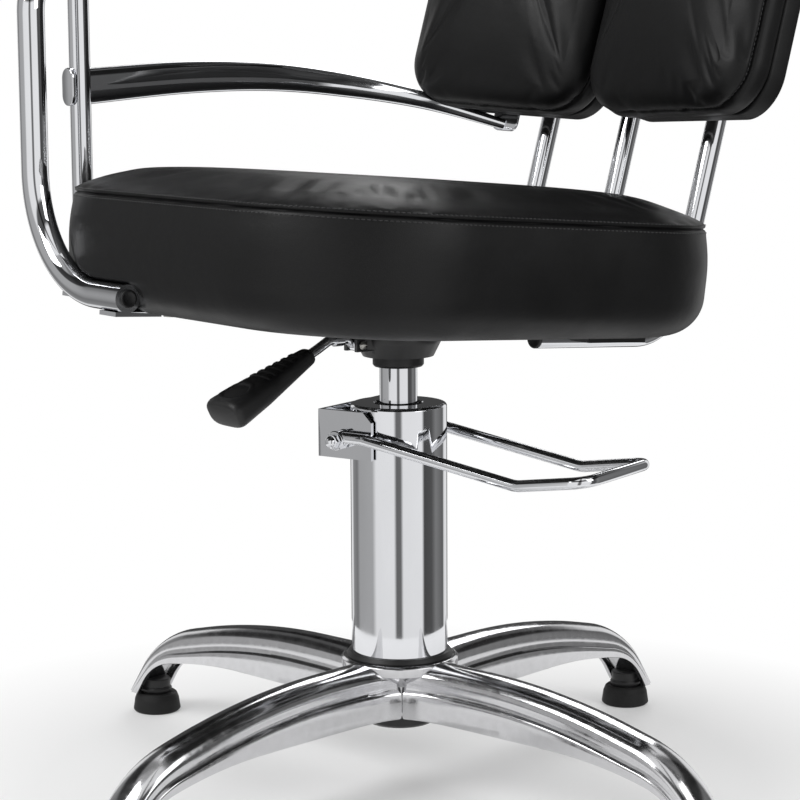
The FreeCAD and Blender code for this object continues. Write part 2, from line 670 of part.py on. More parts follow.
def lever_sleeve():
    points = lever_points()
    run = points[2] - points[1]
    middle = points[1] + run * 0.5
    axis = Vector(run).normalize()
    half = size("lever_rod_radius")
    start = middle - axis * half
    ring = round_rod(start, middle + axis * half, size("lever_rod_radius") * 1.35)
    over = axis * size("cut_over")
    return ring.cut(round_rod(start - over, middle + axis * half + over,
                              size("lever_rod_radius") + size("run_clearance")))


made("lever_sleeve", lever_sleeve())


def lever_grip():
    # A paddle that widens to its end, with cross ribs and a flat pad on top.
    length, thick = size("grip_length"), size("grip_thick")
    wires = []
    for share, wide_share, thick_share in GRIP_SHARES:
        half, deep = size("grip_wide") * wide_share / 2, thick * thick_share / 2
        cut = deep * 0.5
        corners = [(half - cut, -deep), (half, cut - deep), (half, deep - cut), (half - cut, deep),
                   (cut - half, deep), (-half, deep - cut), (-half, cut - deep), (cut - half, -deep)]
        points = [Vector(x, y, length * share) for x, y in corners]
        wires.append(Part.makePolygon(points + points[:1]))
    shape = Part.makeLoft(wires, True, True)
    pitch = length * RIB_PITCH_SHARE
    top = thick / 2
    for i in range(GRIP_RIBS):
        low = length * RIB_START_SHARE + pitch * i
        half = size("grip_wide") * (RIB_WIDTH_SHARE + RIB_GROW_SHARE * i) / 2
        shape = shape.fuse(box(-half, half, 0, top * (RIB_TOP_SHARE + RIB_RISE_SHARE * i),
                               low, low + pitch / 2))
    hole = Part.makeCylinder(size("lever_rod_radius") + size("run_clearance"),
                             length * 0.35, Vector(0, 0, -size("cut_over")))
    return shape.cut(hole)


def lever_grip_place():
    points = lever_points()
    run = (points[4] - points[3]).normalize()
    start = points[3] + run * size("lever_rod_radius") * 2
    turn = Rotation(Vector(1, 0, 0), Vector(0, run.z, -run.y) * -1, run, "ZXY")
    return Placement(start, turn)


made("lever_grip", lever_grip(), lever_grip_place())

# The pedal: a bracket round the cover's back, pivot bolts, a bent bar.
PEDAL = Placement(Vector(), Rotation(UP, size("pedal_turn")))


def pedal_bracket():
    inner = size("cover_radius") + size("bracket_gap")
    outer = inner + size("bracket_wall")
    back = size("pedal_pivot_back") + size("eye_radius")
    low = size("pedal_pivot_height") - size("eye_radius") * 2
    high = size("pedal_pivot_height") + size("eye_radius") * 2.9
    front = size("bracket_wall")
    chamfer = size("eye_radius")
    web_back = -(outer + size("bracket_gap") * 2)
    shape = box(web_back, web_back + size("bracket_wall"), -outer, outer, low, high)
    for side in (-1, 1):
        near, far = side * inner, side * outer
        cheek = box(web_back, front, min(near, far), max(near, far), low, high)
        corner = Part.makePolygon([Vector(front - chamfer, 0, high), Vector(front, 0, high - chamfer),
                                   Vector(front, 0, high), Vector(front - chamfer, 0, high)])
        wedge = Part.Face(corner)
        wedge.translate(Vector(0, -outer - size("cut_over"), 0))
        cheek = cheek.cut(wedge.extrude(Vector(0, 2 * (outer + size("cut_over")), 0)))
        shape = shape.fuse(cheek)
    pad = box(web_back, 0, -back / 2, back / 2, low + chamfer, high - chamfer)
    tower = Part.makeCylinder(size("cover_radius"), high, Vector())
    shape = shape.fuse(pad.cut(tower))
    bolt = Part.makeCylinder(size("pivot_radius") + size("run_clearance"), 2 * outer + 4 * front,
                             Vector(-size("pedal_pivot_back"), -outer - 2 * front,
                                    size("pedal_pivot_height")), Vector(0, 1, 0))
    return shape.cut(bolt)


made("pedal_bracket", pedal_bracket(), PEDAL)


def pivot_bolt(side):
    inner = size("cover_radius") + size("bracket_gap")
    y0 = side * (inner - size("seat_gap"))
    y1 = side * (size("pedal_half") + size("pedal_rod") + size("nut_height") * 0.7)
    place = Vector(-size("pedal_pivot_back"), y0, size("pedal_pivot_height"))
    return Part.makeCylinder(size("pivot_radius"), abs(y1 - y0), place, Vector(0, side, 0))


def cap_nut(side):
    y0 = side * (size("pedal_half") + size("pedal_rod") + size("seat_gap"))
    place = Vector(-size("pedal_pivot_back"), y0, size("pedal_pivot_height"))
    across = size("pivot_radius") * 1.75
    points = []
    for i in range(7):
        angle = pi * i / 3
        points.append(place + Vector(across * cos(angle), 0, across * sin(angle)))
    hexagon = Part.Face(Part.makePolygon(points))
    nut = hexagon.extrude(Vector(0, side * size("nut_height") * 0.6, 0))
    dome = Part.makeCone(across * 0.85, across * 0.5, size("nut_height") * 1.2, place,
                         Vector(0, side, 0))
    hole = Part.makeCylinder(size("pivot_radius") + size("run_clearance"),
                             size("nut_height") * 0.8 + size("cut_over"),
                             place - Vector(0, side * size("cut_over"), 0), Vector(0, side, 0))
    return nut.fuse(dome).cut(hole)


made("pedal_pivots", group([pivot_bolt(-1), pivot_bolt(1)]), PEDAL)
made("pedal_cap_nuts", group([cap_nut(-1), cap_nut(1)]), PEDAL)


def pedal_bar():
    half, reach, kink = size("pedal_half"), size("pedal_reach"), size("pedal_kink")
    high = size("pedal_pivot_height") + size("pedal_rod") / 2
    low = size("pedal_pivot_height") - size("pedal_drop")
    tread = low + size("pedal_rise")
    start = -size("pedal_pivot_back") + size("eye_radius") - size("run_clearance")
    points = [Vector(start, half, high), Vector(0, half, high), Vector(kink, half, low),
              Vector(reach, half, tread), Vector(reach, -half, tread), Vector(kink, -half, low),
              Vector(0, -half, high), Vector(start, -half, high)]
    rod = size("pedal_rod")
    bends = [rod * 4, rod * 6, rod * 3, rod * 3, rod * 6, rod * 4]
    shape = bent_rod(points, bends, rod)
    for side in (-1, 1):
        eye_low = Vector(-size("pedal_pivot_back"), side * half - rod, size("pedal_pivot_height"))
        eye = Part.makeCylinder(size("eye_radius"), 2 * rod, eye_low, Vector(0, 1, 0))
        hole = Part.makeCylinder(size("pivot_radius") + size("run_clearance"),
                                 2 * rod + 2 * size("cut_over"),
                                 eye_low - Vector(0, size("cut_over"), 0), Vector(0, 1, 0))
        link = box(-size("pedal_pivot_back") + size("eye_radius") * 0.5,
                   -size("pedal_pivot_back") + size("eye_radius") * 1.6,
                   side * half - rod * 0.8, side * half + rod * 0.8,
                   size("pedal_pivot_height") - rod, high + rod * 0.9)
        shape = shape.fuse(eye).fuse(link).cut(hole)
    return shape


made("pedal_bar", pedal_bar(), PEDAL)


# The seat leans back a little, so its pieces are made level and then turned.
SEAT = Placement(Vector(0, -size("seat_centre"), size("seat_low")),
                 Rotation(Vector(1, 0, 0), -size("seat_tilt")))


def to_seat(point):
    return SEAT.inverse().multVec(point)


def in_seat(shape):
    # Brings a shape from the chair's frame into the level seat's frame.
    moved = shape.copy()
    moved.Placement = SEAT.inverse().multiply(moved.Placement)
    return moved


def screw(x, y, low):
    head = Part.makeCylinder(size("screw_head"), size("screw_head_thick"),
                             Vector(x, y, low - size("screw_head_thick")))
    return head.fuse(Part.makeCylinder(size("screw_radius"), size("screw_bite") - low,
                                       Vector(x, y, low)))


def screw_hole(x, y, low, high):
    return Part.makeCylinder(size("screw_radius") + size("run_clearance"), high - low,
                             Vector(x, y, low))


def corners_of(pitch):
    half = pitch / 2
    return [(half, half), (half, -half), (-half, half), (-half, -half)]


PIN = to_seat(Vector(0, size("tilt_pin_back"), size("tilt_pin_height")))


def seat_plate():
    thick, side = size("plate_thick"), size("plate_size")
    shape = rounded_block(side, side, size("plate_corner"), -thick, thick)
    for x, y in corners_of(size("plate_pitch")):
        shape = shape.cut(screw_hole(x, y, -thick - size("cut_over"), size("cut_over")))
    near = size("ear_inner") + size("ear_wall") + size("seat_gap")
    far = near + size("lug_wall")
    rim = size("lug_radius")
    for x0, x1 in ((near, far), (-far, -near)):
        shape = shape.fuse(box(x0, x1, PIN.y - rim, PIN.y + rim, PIN.z, -thick))
        shape = shape.fuse(cross_rod(x0, x1, PIN.y, PIN.z, rim))
    return shape.cut(cross_rod(-far - size("cut_over"), far + size("cut_over"), PIN.y, PIN.z,
                               size("tilt_pin_radius") + size("run_clearance")))


made("seat_plate", seat_plate(), SEAT)
made("seat_plate_screws", group([screw(x, y, -size("plate_thick"))
                                 for x, y in corners_of(size("plate_pitch"))]), SEAT)


def bumper(side):
    # Stands on the housing and stops just under the resting seat plate.
    x, y = side * size("bumper_side"), -size("bumper_forward")
    lowest = y + size("bumper_radius") + size("seat_centre")
    top = size("seat_low") - size("plate_thick") / cos(radians(size("seat_tilt")))
    top -= lowest * tan(radians(size("seat_tilt"))) + size("seat_gap")
    return Part.makeCylinder(size("bumper_radius"), top - HOUSING_TOP, Vector(x, y, HOUSING_TOP))


made("tilt_bumpers", group([bumper(-1), bumper(1)]))

# The arm frame: a front tube that curls in under the seat's front, a rear
# post, an arched rail to the backrest and a pad on the top run.
def arm_points():
    front, side, top = -size("arm_front"), -size("arm_side"), size("arm_top")
    return [Vector(-size("arm_end"), front, size("arm_low")), Vector(side, front, size("arm_low")),
            Vector(side, front, top), Vector(-size("post_side"), -size("run_start"), top),
            Vector(-size("post_side"), size("arm_back"), top)]


ARM_BENDS = [size("arm_bend"), size("run_bend"), size("run_bend")]
ARM_TUBE = bent_tube(arm_points(), ARM_BENDS, size("arm_tube_radius"), size("tube_wall"))
arm_tube = made("arm_tube_front", ARM_TUBE)
POST = Vector(-size("post_side"), -size("post_front"), 0)


def post_low():
    # The post stands on its strap, level with the seat's underside.
    return size("seat_low") - (POST.y + size("seat_centre")) * tan(radians(size("seat_tilt")))


def arm_post():
    low, high = Vector(POST), Vector(POST)
    low.z = post_low() + size("seat_gap")
    high.z = size("arm_top")
    outer = round_rod(low, high, size("post_radius"))
    over = Vector(0, 0, size("cut_over"))
    inner = round_rod(low - over, high, size("post_radius") - size("tube_wall"))
    run = bent_rod(arm_points(), ARM_BENDS, size("arm_tube_radius") + size("run_clearance"))
    tube = outer.cut(inner).cut(run)
    return max(tube.Solids, key=lambda solid: solid.Volume)


arm_post_piece = made("arm_post", arm_post())


def tube_plug(place, axis, radius):
    inner = radius - size("tube_wall") - size("run_clearance")
    into = Vector(axis).normalize()
    rim = round_rod(place - into * size("plug_rim"), place, radius)
    return rim.fuse(round_rod(place, place + into * size("plug_length"), inner))


ARM = arm_points()
made("arm_tube_plugs", group([
    tube_plug(ARM[0], ARM[1] - ARM[0], size("arm_tube_radius")),
    tube_plug(ARM[-1], ARM[-2] - ARM[-1], size("arm_tube_radius"))]))


def arm_strap_front():
    # Reaches from under the front tube's end back below the seat board.
    x0 = -size("arm_end") - size("strap_wide")
    tube_low = to_seat(Vector(x0, -size("arm_front"), size("arm_low"))).z - size("arm_tube_radius")
    front = to_seat(Vector(x0, -size("arm_front"), size("arm_low"))).y
    thick = size("strap_thick")
    back = size("board_inset") - size("seat_depth") / 2 + size("strap_wide") * 1.4
    step = size("board_inset") - size("seat_depth") / 2 - size("seat_gap")
    shape = box(x0, -size("arm_end") - size("plug_length"), front - size("arm_tube_radius") / 2,
                step, tube_low - thick, tube_low)
    shape = shape.fuse(box(x0, -size("arm_end") - size("plug_length"), step - thick, step,
                           tube_low - thick, -size("seat_gap")))
    shape = shape.fuse(box(x0, -size("arm_end") - size("plug_length"), step - thick, back,
                           -thick - size("seat_gap"), -size("seat_gap")))
    return shape


def arm_strap_rear():
    post = to_seat(Vector(POST.x, POST.y, post_low()))
    half = size("strap_wide") / 2
    thick = size("strap_thick")
    inner = -size("seat_width") / 2 + size("board_inset") + size("strap_wide") * 2.3
    return box(post.x - size("post_radius") * 1.2, inner, post.y - half, post.y + half,
               -thick - size("seat_gap"), -size("seat_gap"))


STRAP_LOW = -size("strap_thick") - size("seat_gap")


def strap_screws():
    places = []
    inner = -size("seat_width") / 2 + size("board_inset") + size("strap_wide") * 1.6
    post = to_seat(Vector(POST.x, POST.y, post_low()))
    places.append((inner, post.y - size("strap_wide") / 4))
    places.append((inner + size("strap_wide") / 3, post.y + size("strap_wide") / 4))
    back = size("board_inset") - size("seat_depth") / 2 + size("strap_wide")
    x = -size("arm_end") - size("strap_wide") * 0.6
    places.append((x, back))
    places.append((x, back - size("strap_wide") * 0.55))
    return places


def drilled(shape):
    for x, y in strap_screws():
        shape = shape.cut(screw_hole(x, y, STRAP_LOW - size("cut_over"), size("cut_over")))
    return shape


made("arm_straps", group([drilled(arm_strap_front()), drilled(arm_strap_rear())]), SEAT)
made("arm_strap_screws", group([screw(x, y, STRAP_LOW) for x, y in strap_screws()]), SEAT)


# The back tubes run forward under the seat board, on a cross plate.
BACK = Placement(Vector(0, size("back_foot"), size("back_low")),
                 Rotation(Vector(1, 0, 0), -size("back_lean")))
LEAN = Vector(0, sin(radians(size("back_lean"))), cos(radians(size("back_lean"))))


def back_points(x):
    # Two straight lines, one under the seat and one up the lean, that meet.
    level = size("back_tube_low")
    start = SEAT.multVec(Vector(x, size("back_tube_start"), level))
    along = SEAT.Rotation.multVec(Vector(0, 1, 0))
    foot = BACK.multVec(Vector(x, 0, 0))
    reach = (foot.y - start.y) * LEAN.z - (foot.z - start.z) * LEAN.y
    reach /= along.y * LEAN.z - along.z * LEAN.y
    return [start, start + along * reach, foot + LEAN * size("back_tube_top")]


BACK_X = [-size("back_pitch"), 0, size("back_pitch")]
BACK_ENDS = [back_points(x) for x in BACK_X]


def back_tubes():
    return group([bent_tube(points, [size("back_tube_bend")], size("back_tube_radius"),
                            size("tube_wall")) for points in BACK_ENDS])


back_tube_piece = made("back_tubes", back_tubes())


def back_tube_plugs():
    plugs = []
    for points in BACK_ENDS:
        plugs.append(tube_plug(points[0], points[1] - points[0], size("back_tube_radius")))
        plugs.append(tube_plug(points[-1], points[-2] - points[-1], size("back_tube_radius")))
    return group(plugs)


made("back_tube_plugs", back_tube_plugs())

# The plate that clasps the back tubes is screwed up into the seat board.
def back_plate_screws():
    middle = size("back_plate_front") + size("back_plate_depth") / 2
    out = []
    for x in (-size("back_pitch") / 2, size("back_pitch") / 2):
        for y in (middle - size("back_plate_depth") / 3, middle + size("back_plate_depth") / 3):
            out.append((x, y))
    return out


def back_saddle():
    # A thick plate with three grooves that the tubes lie in.
    top = -size("seat_gap")
    low = size("back_tube_low") - size("back_tube_radius") * 0.2
    front = size("back_plate_front")
    shape = box(-size("back_plate_half"), size("back_plate_half"), front,
                front + size("back_plate_depth"), low, top)
    for points in BACK_ENDS:
        rod = bent_rod(points, [size("back_tube_bend")],
                       size("back_tube_radius") + size("run_clearance"))
        shape = shape.cut(in_seat(rod))
    for x, y in back_plate_screws():
        shape = shape.cut(screw_hole(x, y, low - size("cut_over"), top + size("cut_over")))
    return max(shape.Solids, key=lambda solid: solid.Volume)


SADDLE_LOW = size("back_tube_low") - size("back_tube_radius") * 0.2
made("back_saddle", back_saddle(), SEAT)
made("back_saddle_screws", group([screw(x, y, SADDLE_LOW) for x, y in back_plate_screws()]), SEAT)


# The seat: a drilled board under a cushion of two covers sewn together.
def seat_board():
    inset = size("board_inset")
    shape = rounded_block(size("seat_width") - 2 * inset, size("seat_depth") - 2 * inset,
                          size("board_corner"), 0, size("board_thick"))
    places = corners_of(size("plate_pitch")) + strap_screws() + back_plate_screws()
    for x, y in places:
        shape = shape.cut(screw_hole(x, y, -size("cut_over"),
                                     size("screw_bite") + size("seat_gap")))
    return shape


made("seat_board", seat_board(), SEAT)

# The seat cushion: a wall and a top cover that meet in a sunk seam, and a low crown.
SEAT_LOW_ROUND_SHARE = 0.30
SEAT_SEAM_ROUND_SHARE = 0.08
SEAT_TOP_ROUND_SHARE = 0.15
SEAT_CROWN_SHARES = [(0.0, 0.0), (0.45, 0.09), (0.80, 0.20), (1.0, 0.27)]


def crown_levels(shares, low, rise, inset, width):
    return [(low + rise * a, inset + width * b) for a, b in shares]


def seat_cushion():
    width, depth, corner = size("seat_width"), size("seat_depth"), size("seat_corner")
    thick, seam, crease = size("seat_thick"), size("seat_seam"), size("seat_crease")
    shoulder = seam + thick * SEAT_TOP_ROUND_SHARE
    wall = soft_block(width, depth, corner, 0, seam, thick * SEAT_LOW_ROUND_SHARE,
                      thick * SEAT_SEAM_ROUND_SHARE)
    cover = soft_block(width, depth, corner, seam - crease, shoulder, crease,
                       thick * SEAT_TOP_ROUND_SHARE * 0.9, crease)
    flat = crease + thick * SEAT_TOP_ROUND_SHARE * 0.9
    crown = dome(width, depth, corner,
                 crown_levels(SEAT_CROWN_SHARES, shoulder - crease, thick - shoulder + crease,
                              flat + crease, width))
    gap, inset = size("seat_gap"), size("board_inset")
    pocket = rounded_block(width - 2 * inset + 2 * gap, depth - 2 * inset + 2 * gap,
                           size("board_corner") + gap, -size("cut_over"),
                           size("board_thick") + size("cut_over") + gap)
    route = arm_points()
    route[0] += Vector(size("plug_rim") + size("groove_gap"), 0, 0)
    groove = bent_rod(route, ARM_BENDS, size("arm_tube_radius") + size("groove_gap"))
    return wall.fuse(cover).fuse(crown).cut(pocket).cut(in_seat(groove))


made("seat_cushion", seat_cushion(), SEAT)

# Each half of the backrest is made flat: x across from the inner edge, y up
# and z towards the sitter, and then turned a little inwards.
def half_place(side):
    hinge = Placement(Vector(side * size("back_split") / 2, -size("panel_gap") - size("seat_gap"), 0),
                      Rotation(UP, -side * size("back_wrap")))
    return BACK.multiply(hinge).multiply(Placement(Vector(), Rotation(Vector(1, 0, 0), 90)))


HALF = {side: half_place(side) for side in (-1, 1)}
HALF_WIDTH = size("back_half") - size("back_split") / 2
SIDE_NAMES = {-1: "right", 1: "left"}


def half_point(side, across, up, out):
    return Vector(side * across, up, out)


def along_half(side, across, up, low, high, radius):
    # A rod square to a half's backing panel, in that half's own frame.
    return Part.makeCylinder(radius, high - low, half_point(side, across, up, low))


# The rail from the post to the backrest: stations on a curve, each an oval.
RAIL_SIDES = 16
RAIL_TALL_SHARES = [1.0, 0.95, 0.88, 0.80, 0.72, 0.60, 0.50, 0.42]


def rail_curve():
    # Goes back beside the sitter, rises a little and turns in to the panel.
    side, height = size("post_side"), size("rail_height")
    end = HALF[-1].multVec(half_point(-1, size("rail_end_side"), -size("rail_end_drop"),
                                      -size("seat_gap") - size("plate_thick") / 2))
    points = [Vector(-side, POST.y, height), Vector(-side - 6, -60, height + 7),
              Vector(-side - 5, 40, height + 6), Vector(-side + 5, 130, height - 4),
              Vector(-side + 35, 205, height - 20), end]
    curve = Part.BSplineCurve()
    curve.interpolate(points)
    return curve


def arm_rail():
    curve = rail_curve()
    wires = []
    for i, share in enumerate(RAIL_TALL_SHARES):
        at = curve.LastParameter * i / (len(RAIL_TALL_SHARES) - 1)
        place, along = curve.value(at), Vector(*curve.tangent(at)[0])
        across = along.cross(UP).normalize()
        over = across.cross(along).normalize()
        ring = []
        for k in range(RAIL_SIDES):
            angle = 2 * pi * (k + 0.5) / RAIL_SIDES
            ring.append(place + across * (cos(angle) * size("rail_thin") / 2)
                        + over * (sin(angle) * size("rail_tall") * share / 2))
        wires.append(Part.makePolygon(ring + ring[:1]))
    shape = Part.makeLoft(wires, True, False)
    shape = shape.cut(round_rod(Vector(POST.x, POST.y, 0), Vector(POST.x, POST.y, size("arm_top")),
                                size("post_radius") + size("run_clearance")))
    shape = max(shape.Solids, key=lambda solid: solid.Volume)
    return shape.fuse(rail_tab()).cut(rail_bolt_hole()).cut(tab_hole())


def rail_tab():
    # A flat tab behind the right backing panel's lower edge.
    half, side = size("rail_tall") / 2, size("rail_end_side")
    tab = box(-side - half, -side + half, -size("rail_end_drop") - size("rail_thin") / 2,
              size("rail_tall") * 1.2, -size("seat_gap") - size("plate_thick"), -size("seat_gap"))
    tab.Placement = HALF[-1]
    return tab


def rail_bolt_hole():
    radius = size("screw_radius") + size("run_clearance")
    low = Vector(POST.x, POST.y - size("post_radius") - size("cut_over"), size("rail_height"))
    return round_rod(low, low + Vector(0, size("rail_bolt"), 0), radius)


def in_back(shape):
    shape.Placement = BACK
    return shape


TAB_BOLT_UP = size("rail_tall") * 0.7


def tab_hole():
    hole = along_half(-1, size("rail_end_side"), TAB_BOLT_UP, -size("panel_thick"),
                      size("screw_bite") + size("seat_gap"),
                      size("screw_radius") + size("run_clearance"))
    hole.Placement = HALF[-1]
    return hole


made("arm_rail", arm_rail())
arm_post_piece.Shape = arm_post().cut(rail_bolt_hole())


def arm_rail_cap():
    # An oval disc on the post's front with the rail's bolt behind it.
    front = POST.y - size("post_radius") - size("seat_gap")
    oval = Part.Ellipse(Vector(0, 0, 0), size("cap_long") / 2, size("cap_short") / 2)
    disc = Part.Face(Part.Wire([oval.toShape()])).extrude(Vector(0, 0, size("cap_thick")))
    disc = disc.makeChamfer(size("cap_thick") / 4, at_height(disc, size("cap_thick")))
    disc.Placement = Placement(Vector(POST.x, front, size("rail_height")),
                               Rotation(Vector(0, 0, 1), Vector(1, 0, 0), Vector(0, -1, 0), "ZXY"))
    length = size("rail_bolt") - size("cut_over") * 3
    start = Vector(POST.x, front, size("rail_height"))
    return disc.fuse(round_rod(start, start + Vector(0, length, 0), size("screw_radius")))


made("arm_rail_cap", arm_rail_cap())

# The arm pad: a board grooved for the tube, two screws from below, a cushion.
PAD_MIDDLE = size("arm_back") - size("pad_length") / 2
PAD_SCREWS = [PAD_MIDDLE - size("pad_length") / 4, PAD_MIDDLE + size("pad_length") / 4]
PAD_BOARD_LOW = size("arm_top") + size("arm_tube_radius") / 2
PAD_BOARD_TOP = size("arm_top") + size("arm_tube_radius") + size("pad_board")


def pad_screw(y, radius):
    low = size("arm_top") - size("arm_tube_radius") - size("seat_gap")
    top = PAD_BOARD_TOP - size("cut_over")
    return Part.makeCylinder(radius, top - low, Vector(-size("post_side"), y, low))


def arm_pad_board():
    inset = size("pad_width") / 8
    shape = rounded_block(size("pad_width") - 2 * inset, size("pad_length") - 2 * inset,
                          size("pad_width") / 4, PAD_BOARD_LOW, PAD_BOARD_TOP - PAD_BOARD_LOW,
                          -size("post_side"), PAD_MIDDLE)
    groove = bent_rod(arm_points(), ARM_BENDS, size("arm_tube_radius") + size("run_clearance"))
    shape = shape.cut(groove)
    for y in PAD_SCREWS:
        shape = shape.cut(pad_screw(y, size("screw_radius") + size("run_clearance")))
    return shape


made("arm_pad_board", arm_pad_board())


def arm_pad_screw(y):
    low = size("arm_top") - size("arm_tube_radius") - size("seat_gap") - size("screw_head_thick")
    head = Part.makeCylinder(size("screw_head"), size("screw_head_thick"),
                             Vector(-size("post_side"), y, low))
    return head.fuse(pad_screw(y, size("screw_radius")))


for y in PAD_SCREWS:
    ARM_TUBE = ARM_TUBE.cut(pad_screw(y, size("screw_radius") + size("run_clearance")))
arm_tube.Shape = ARM_TUBE
made("arm_pad_screws", group([arm_pad_screw(y) for y in PAD_SCREWS]))


def arm_pad():
    low = PAD_BOARD_TOP + size("seat_gap")
    return soft_block(size("pad_width"), size("pad_length"), size("pad_width") / 2.2, low,
                      low + size("pad_thick"), size("pad_thick") * 0.2, size("pad_thick") * 0.45)


made("arm_pad", arm_pad(), Placement(Vector(-size("post_side"), PAD_MIDDLE, 0), Rotation()))


def tube_in_half(side, radius):
    points = BACK_ENDS[1 + side]
    rod = round_rod(points[1], points[2] + LEAN * size("cut_over"), radius)
    rod.Placement = HALF[side].inverse().multiply(rod.Placement)
    return rod


def tube_at(side):
    # The outer back tube's axis in the half's frame: across and out.
    low = HALF[side].inverse().multVec(BACK_ENDS[1 + side][2])
    return abs(low.x), low.z


SPACER_UPS = [size("back_height") * 0.22, size("back_height") * 0.78]
WING_UPS = [size("back_height") * 0.25, size("back_height") * 0.75]


def panel(side):
    gap, height = size("panel_inset"), size("back_height")
    thick = size("panel_thick")
    shape = rounded_block(HALF_WIDTH - 2 * gap, height - 2 * gap, size("back_corner") - gap,
                          0, thick, side * HALF_WIDTH / 2, height / 2)
    bore = size("screw_radius") + size("run_clearance")
    across, out = tube_at(side)
    depth = size("screw_bite") + size("seat_gap")
    for up in SPACER_UPS:
        shape = shape.cut(along_half(side, across, up, -size("cut_over"), depth, bore))
    for up in WING_UPS:
        shape = shape.cut(along_half(side, size("wing_reach") * 0.7, up, -size("cut_over"), depth,
                                     bore))
    for across, up in guide_screws():
        shape = shape.cut(along_half(side, across, up, -size("cut_over"), depth, bore))
    if side < 0:
        shape = shape.cut(along_half(side, size("rail_end_side"), TAB_BOLT_UP, -size("cut_over"),
                                     depth, bore))
    return shape


def guide_screws():
    up, half = size("guide_up"), size("guide_half")
    middle = size("head_stem_half") - size("back_split") / 2
    reach = half - size("screw_head") - size("seat_gap")
    return [(middle - reach, up), (middle + reach, up)]


for side in (-1, 1):
    made("back_panel_" + SIDE_NAMES[side], panel(side), HALF[side])


def back_cushion(side):
    low = size("panel_thick") + size("seat_gap")
    thick = size("back_pad_thick") - size("back_crown")
    height, corner, crease = size("back_height"), size("back_corner"), size("seat_crease")
    seam = low + thick * 0.5
    wall = soft_block(HALF_WIDTH, height, corner, low, seam, thick * 0.2, crease * 2)
    cover = soft_block(HALF_WIDTH, height, corner, seam - crease, low + thick, crease,
                       thick * 0.42, crease)
    inset = crease * 2 + thick * 0.42
    crown = dome(HALF_WIDTH, height, corner,
                 crown_levels(BACK_CROWN_SHARES, low + thick - crease,
                              size("back_crown") + crease, inset, HALF_WIDTH))
    return wall.fuse(cover).fuse(crown)


BACK_CROWN_SHARES = [(0.0, 0.0), (0.6, 0.08), (1.0, 0.18)]
for side in (-1, 1):
    middle = Placement(Vector(side * HALF_WIDTH / 2, size("back_height") / 2, 0), Rotation())
    made("back_cushion_" + SIDE_NAMES[side], back_cushion(side), HALF[side].multiply(middle))


def spacer(side, up):
    across, out = tube_at(side)
    rod = along_half(side, across, up, out, -size("seat_gap"), size("spacer_radius"))
    bore = along_half(side, across, up, out - size("cut_over"), size("cut_over"),
                      size("screw_radius") + size("run_clearance"))
    cut = rod.cut(tube_in_half(side, size("back_tube_radius") + size("run_clearance"))).cut(bore)
    cut.Placement = HALF[side]
    return cut


def spacer_bolt(side, up):
    across, out = tube_at(side)
    start = out - size("back_tube_radius") - size("seat_gap")
    head = along_half(side, across, up, start - size("screw_head_thick"), start,
                      size("screw_head"))
    shank = along_half(side, across, up, start, size("screw_bite"), size("screw_radius"))
    bolt = head.fuse(shank)
    bolt.Placement = HALF[side]
    return bolt


def spacer_bolt_hole(side, up):
    across, out = tube_at(side)
    reach = size("back_tube_radius") + size("cut_over")
    hole = along_half(side, across, up, out - reach, out + reach,
                      size("screw_radius") + size("run_clearance"))
    hole.Placement = HALF[side]
    return hole


BOTH = [(side, up) for side in (-1, 1) for up in SPACER_UPS]
made("back_spacers", group([spacer(side, up) for side, up in BOTH]))
made("back_spacer_bolts", group([spacer_bolt(side, up) for side, up in BOTH]))


def joint_plate():
    # A shallow V across both panels' inner edges, riveted to the middle tube.
    thick = size("plate_thick")
    low, high = WING_UPS[0] - size("wing_reach"), WING_UPS[1] + size("wing_reach")
    near = -size("panel_gap")
    plate = box(-size("wing_flat"), size("wing_flat"), near, near + thick, low, high)
    plate.Placement = BACK
    for side in (-1, 1):
        x0, x1 = sorted((0, side * size("wing_reach")))
        wing = box(x0, x1, low, high, -thick - size("seat_gap"), -size("seat_gap"))
        for up in WING_UPS:
            wing = wing.cut(along_half(side, size("wing_reach") * 0.7, up, -2 * thick, thick,
                                       size("screw_radius") + size("run_clearance")))
        wing.Placement = HALF[side]
        plate = plate.fuse(wing)
    for up in RIVET_UPS:
        plate = plate.cut(rivet_rod(up, size("screw_radius") + size("run_clearance")))
    return plate


RIVET_UPS = [size("back_height") * 0.35, size("back_height") * 0.65]


def rivet_rod(up, radius):
    near = -size("panel_gap") - size("seat_gap")
    rod = Part.makeCylinder(radius, size("back_tube_radius") + size("plate_thick"),
                            Vector(0, near, up), Vector(0, 1, 0))
    rod.Placement = BACK
    return rod


def rivet(up):
    near = -size("panel_gap") - size("seat_gap")
    head = Part.makeCylinder(size("screw_head") * 0.8, size("plate_thick") * 0.7,
                             Vector(0, near, up), Vector(0, -1, 0))
    head.Placement = BACK
    return head.fuse(rivet_rod(up, size("screw_radius")))


made("back_joint_plate", joint_plate())
made("back_rivets", group([rivet(up) for up in RIVET_UPS]))


def wing_screw(side, up):
    start = -size("plate_thick") - 2 * size("seat_gap")
    across = size("wing_reach") * 0.7
    head = along_half(side, across, up, start - size("screw_head_thick"), start,
                      size("screw_head"))
    shank = along_half(side, across, up, start, size("screw_bite"), size("screw_radius"))
    out = head.fuse(shank)
    out.Placement = HALF[side]
    return out


made("back_plate_bolts", group([wing_screw(side, up) for side in (-1, 1) for up in WING_UPS]))

# The back tubes are drilled for the bolts and the rivets.
DRILLED = back_tubes()
for side, up in BOTH:
    DRILLED = DRILLED.cut(spacer_bolt_hole(side, up))
for up in RIVET_UPS:
    DRILLED = DRILLED.cut(rivet_rod(up, size("screw_radius") + size("run_clearance")))
back_tube_piece.Shape = DRILLED


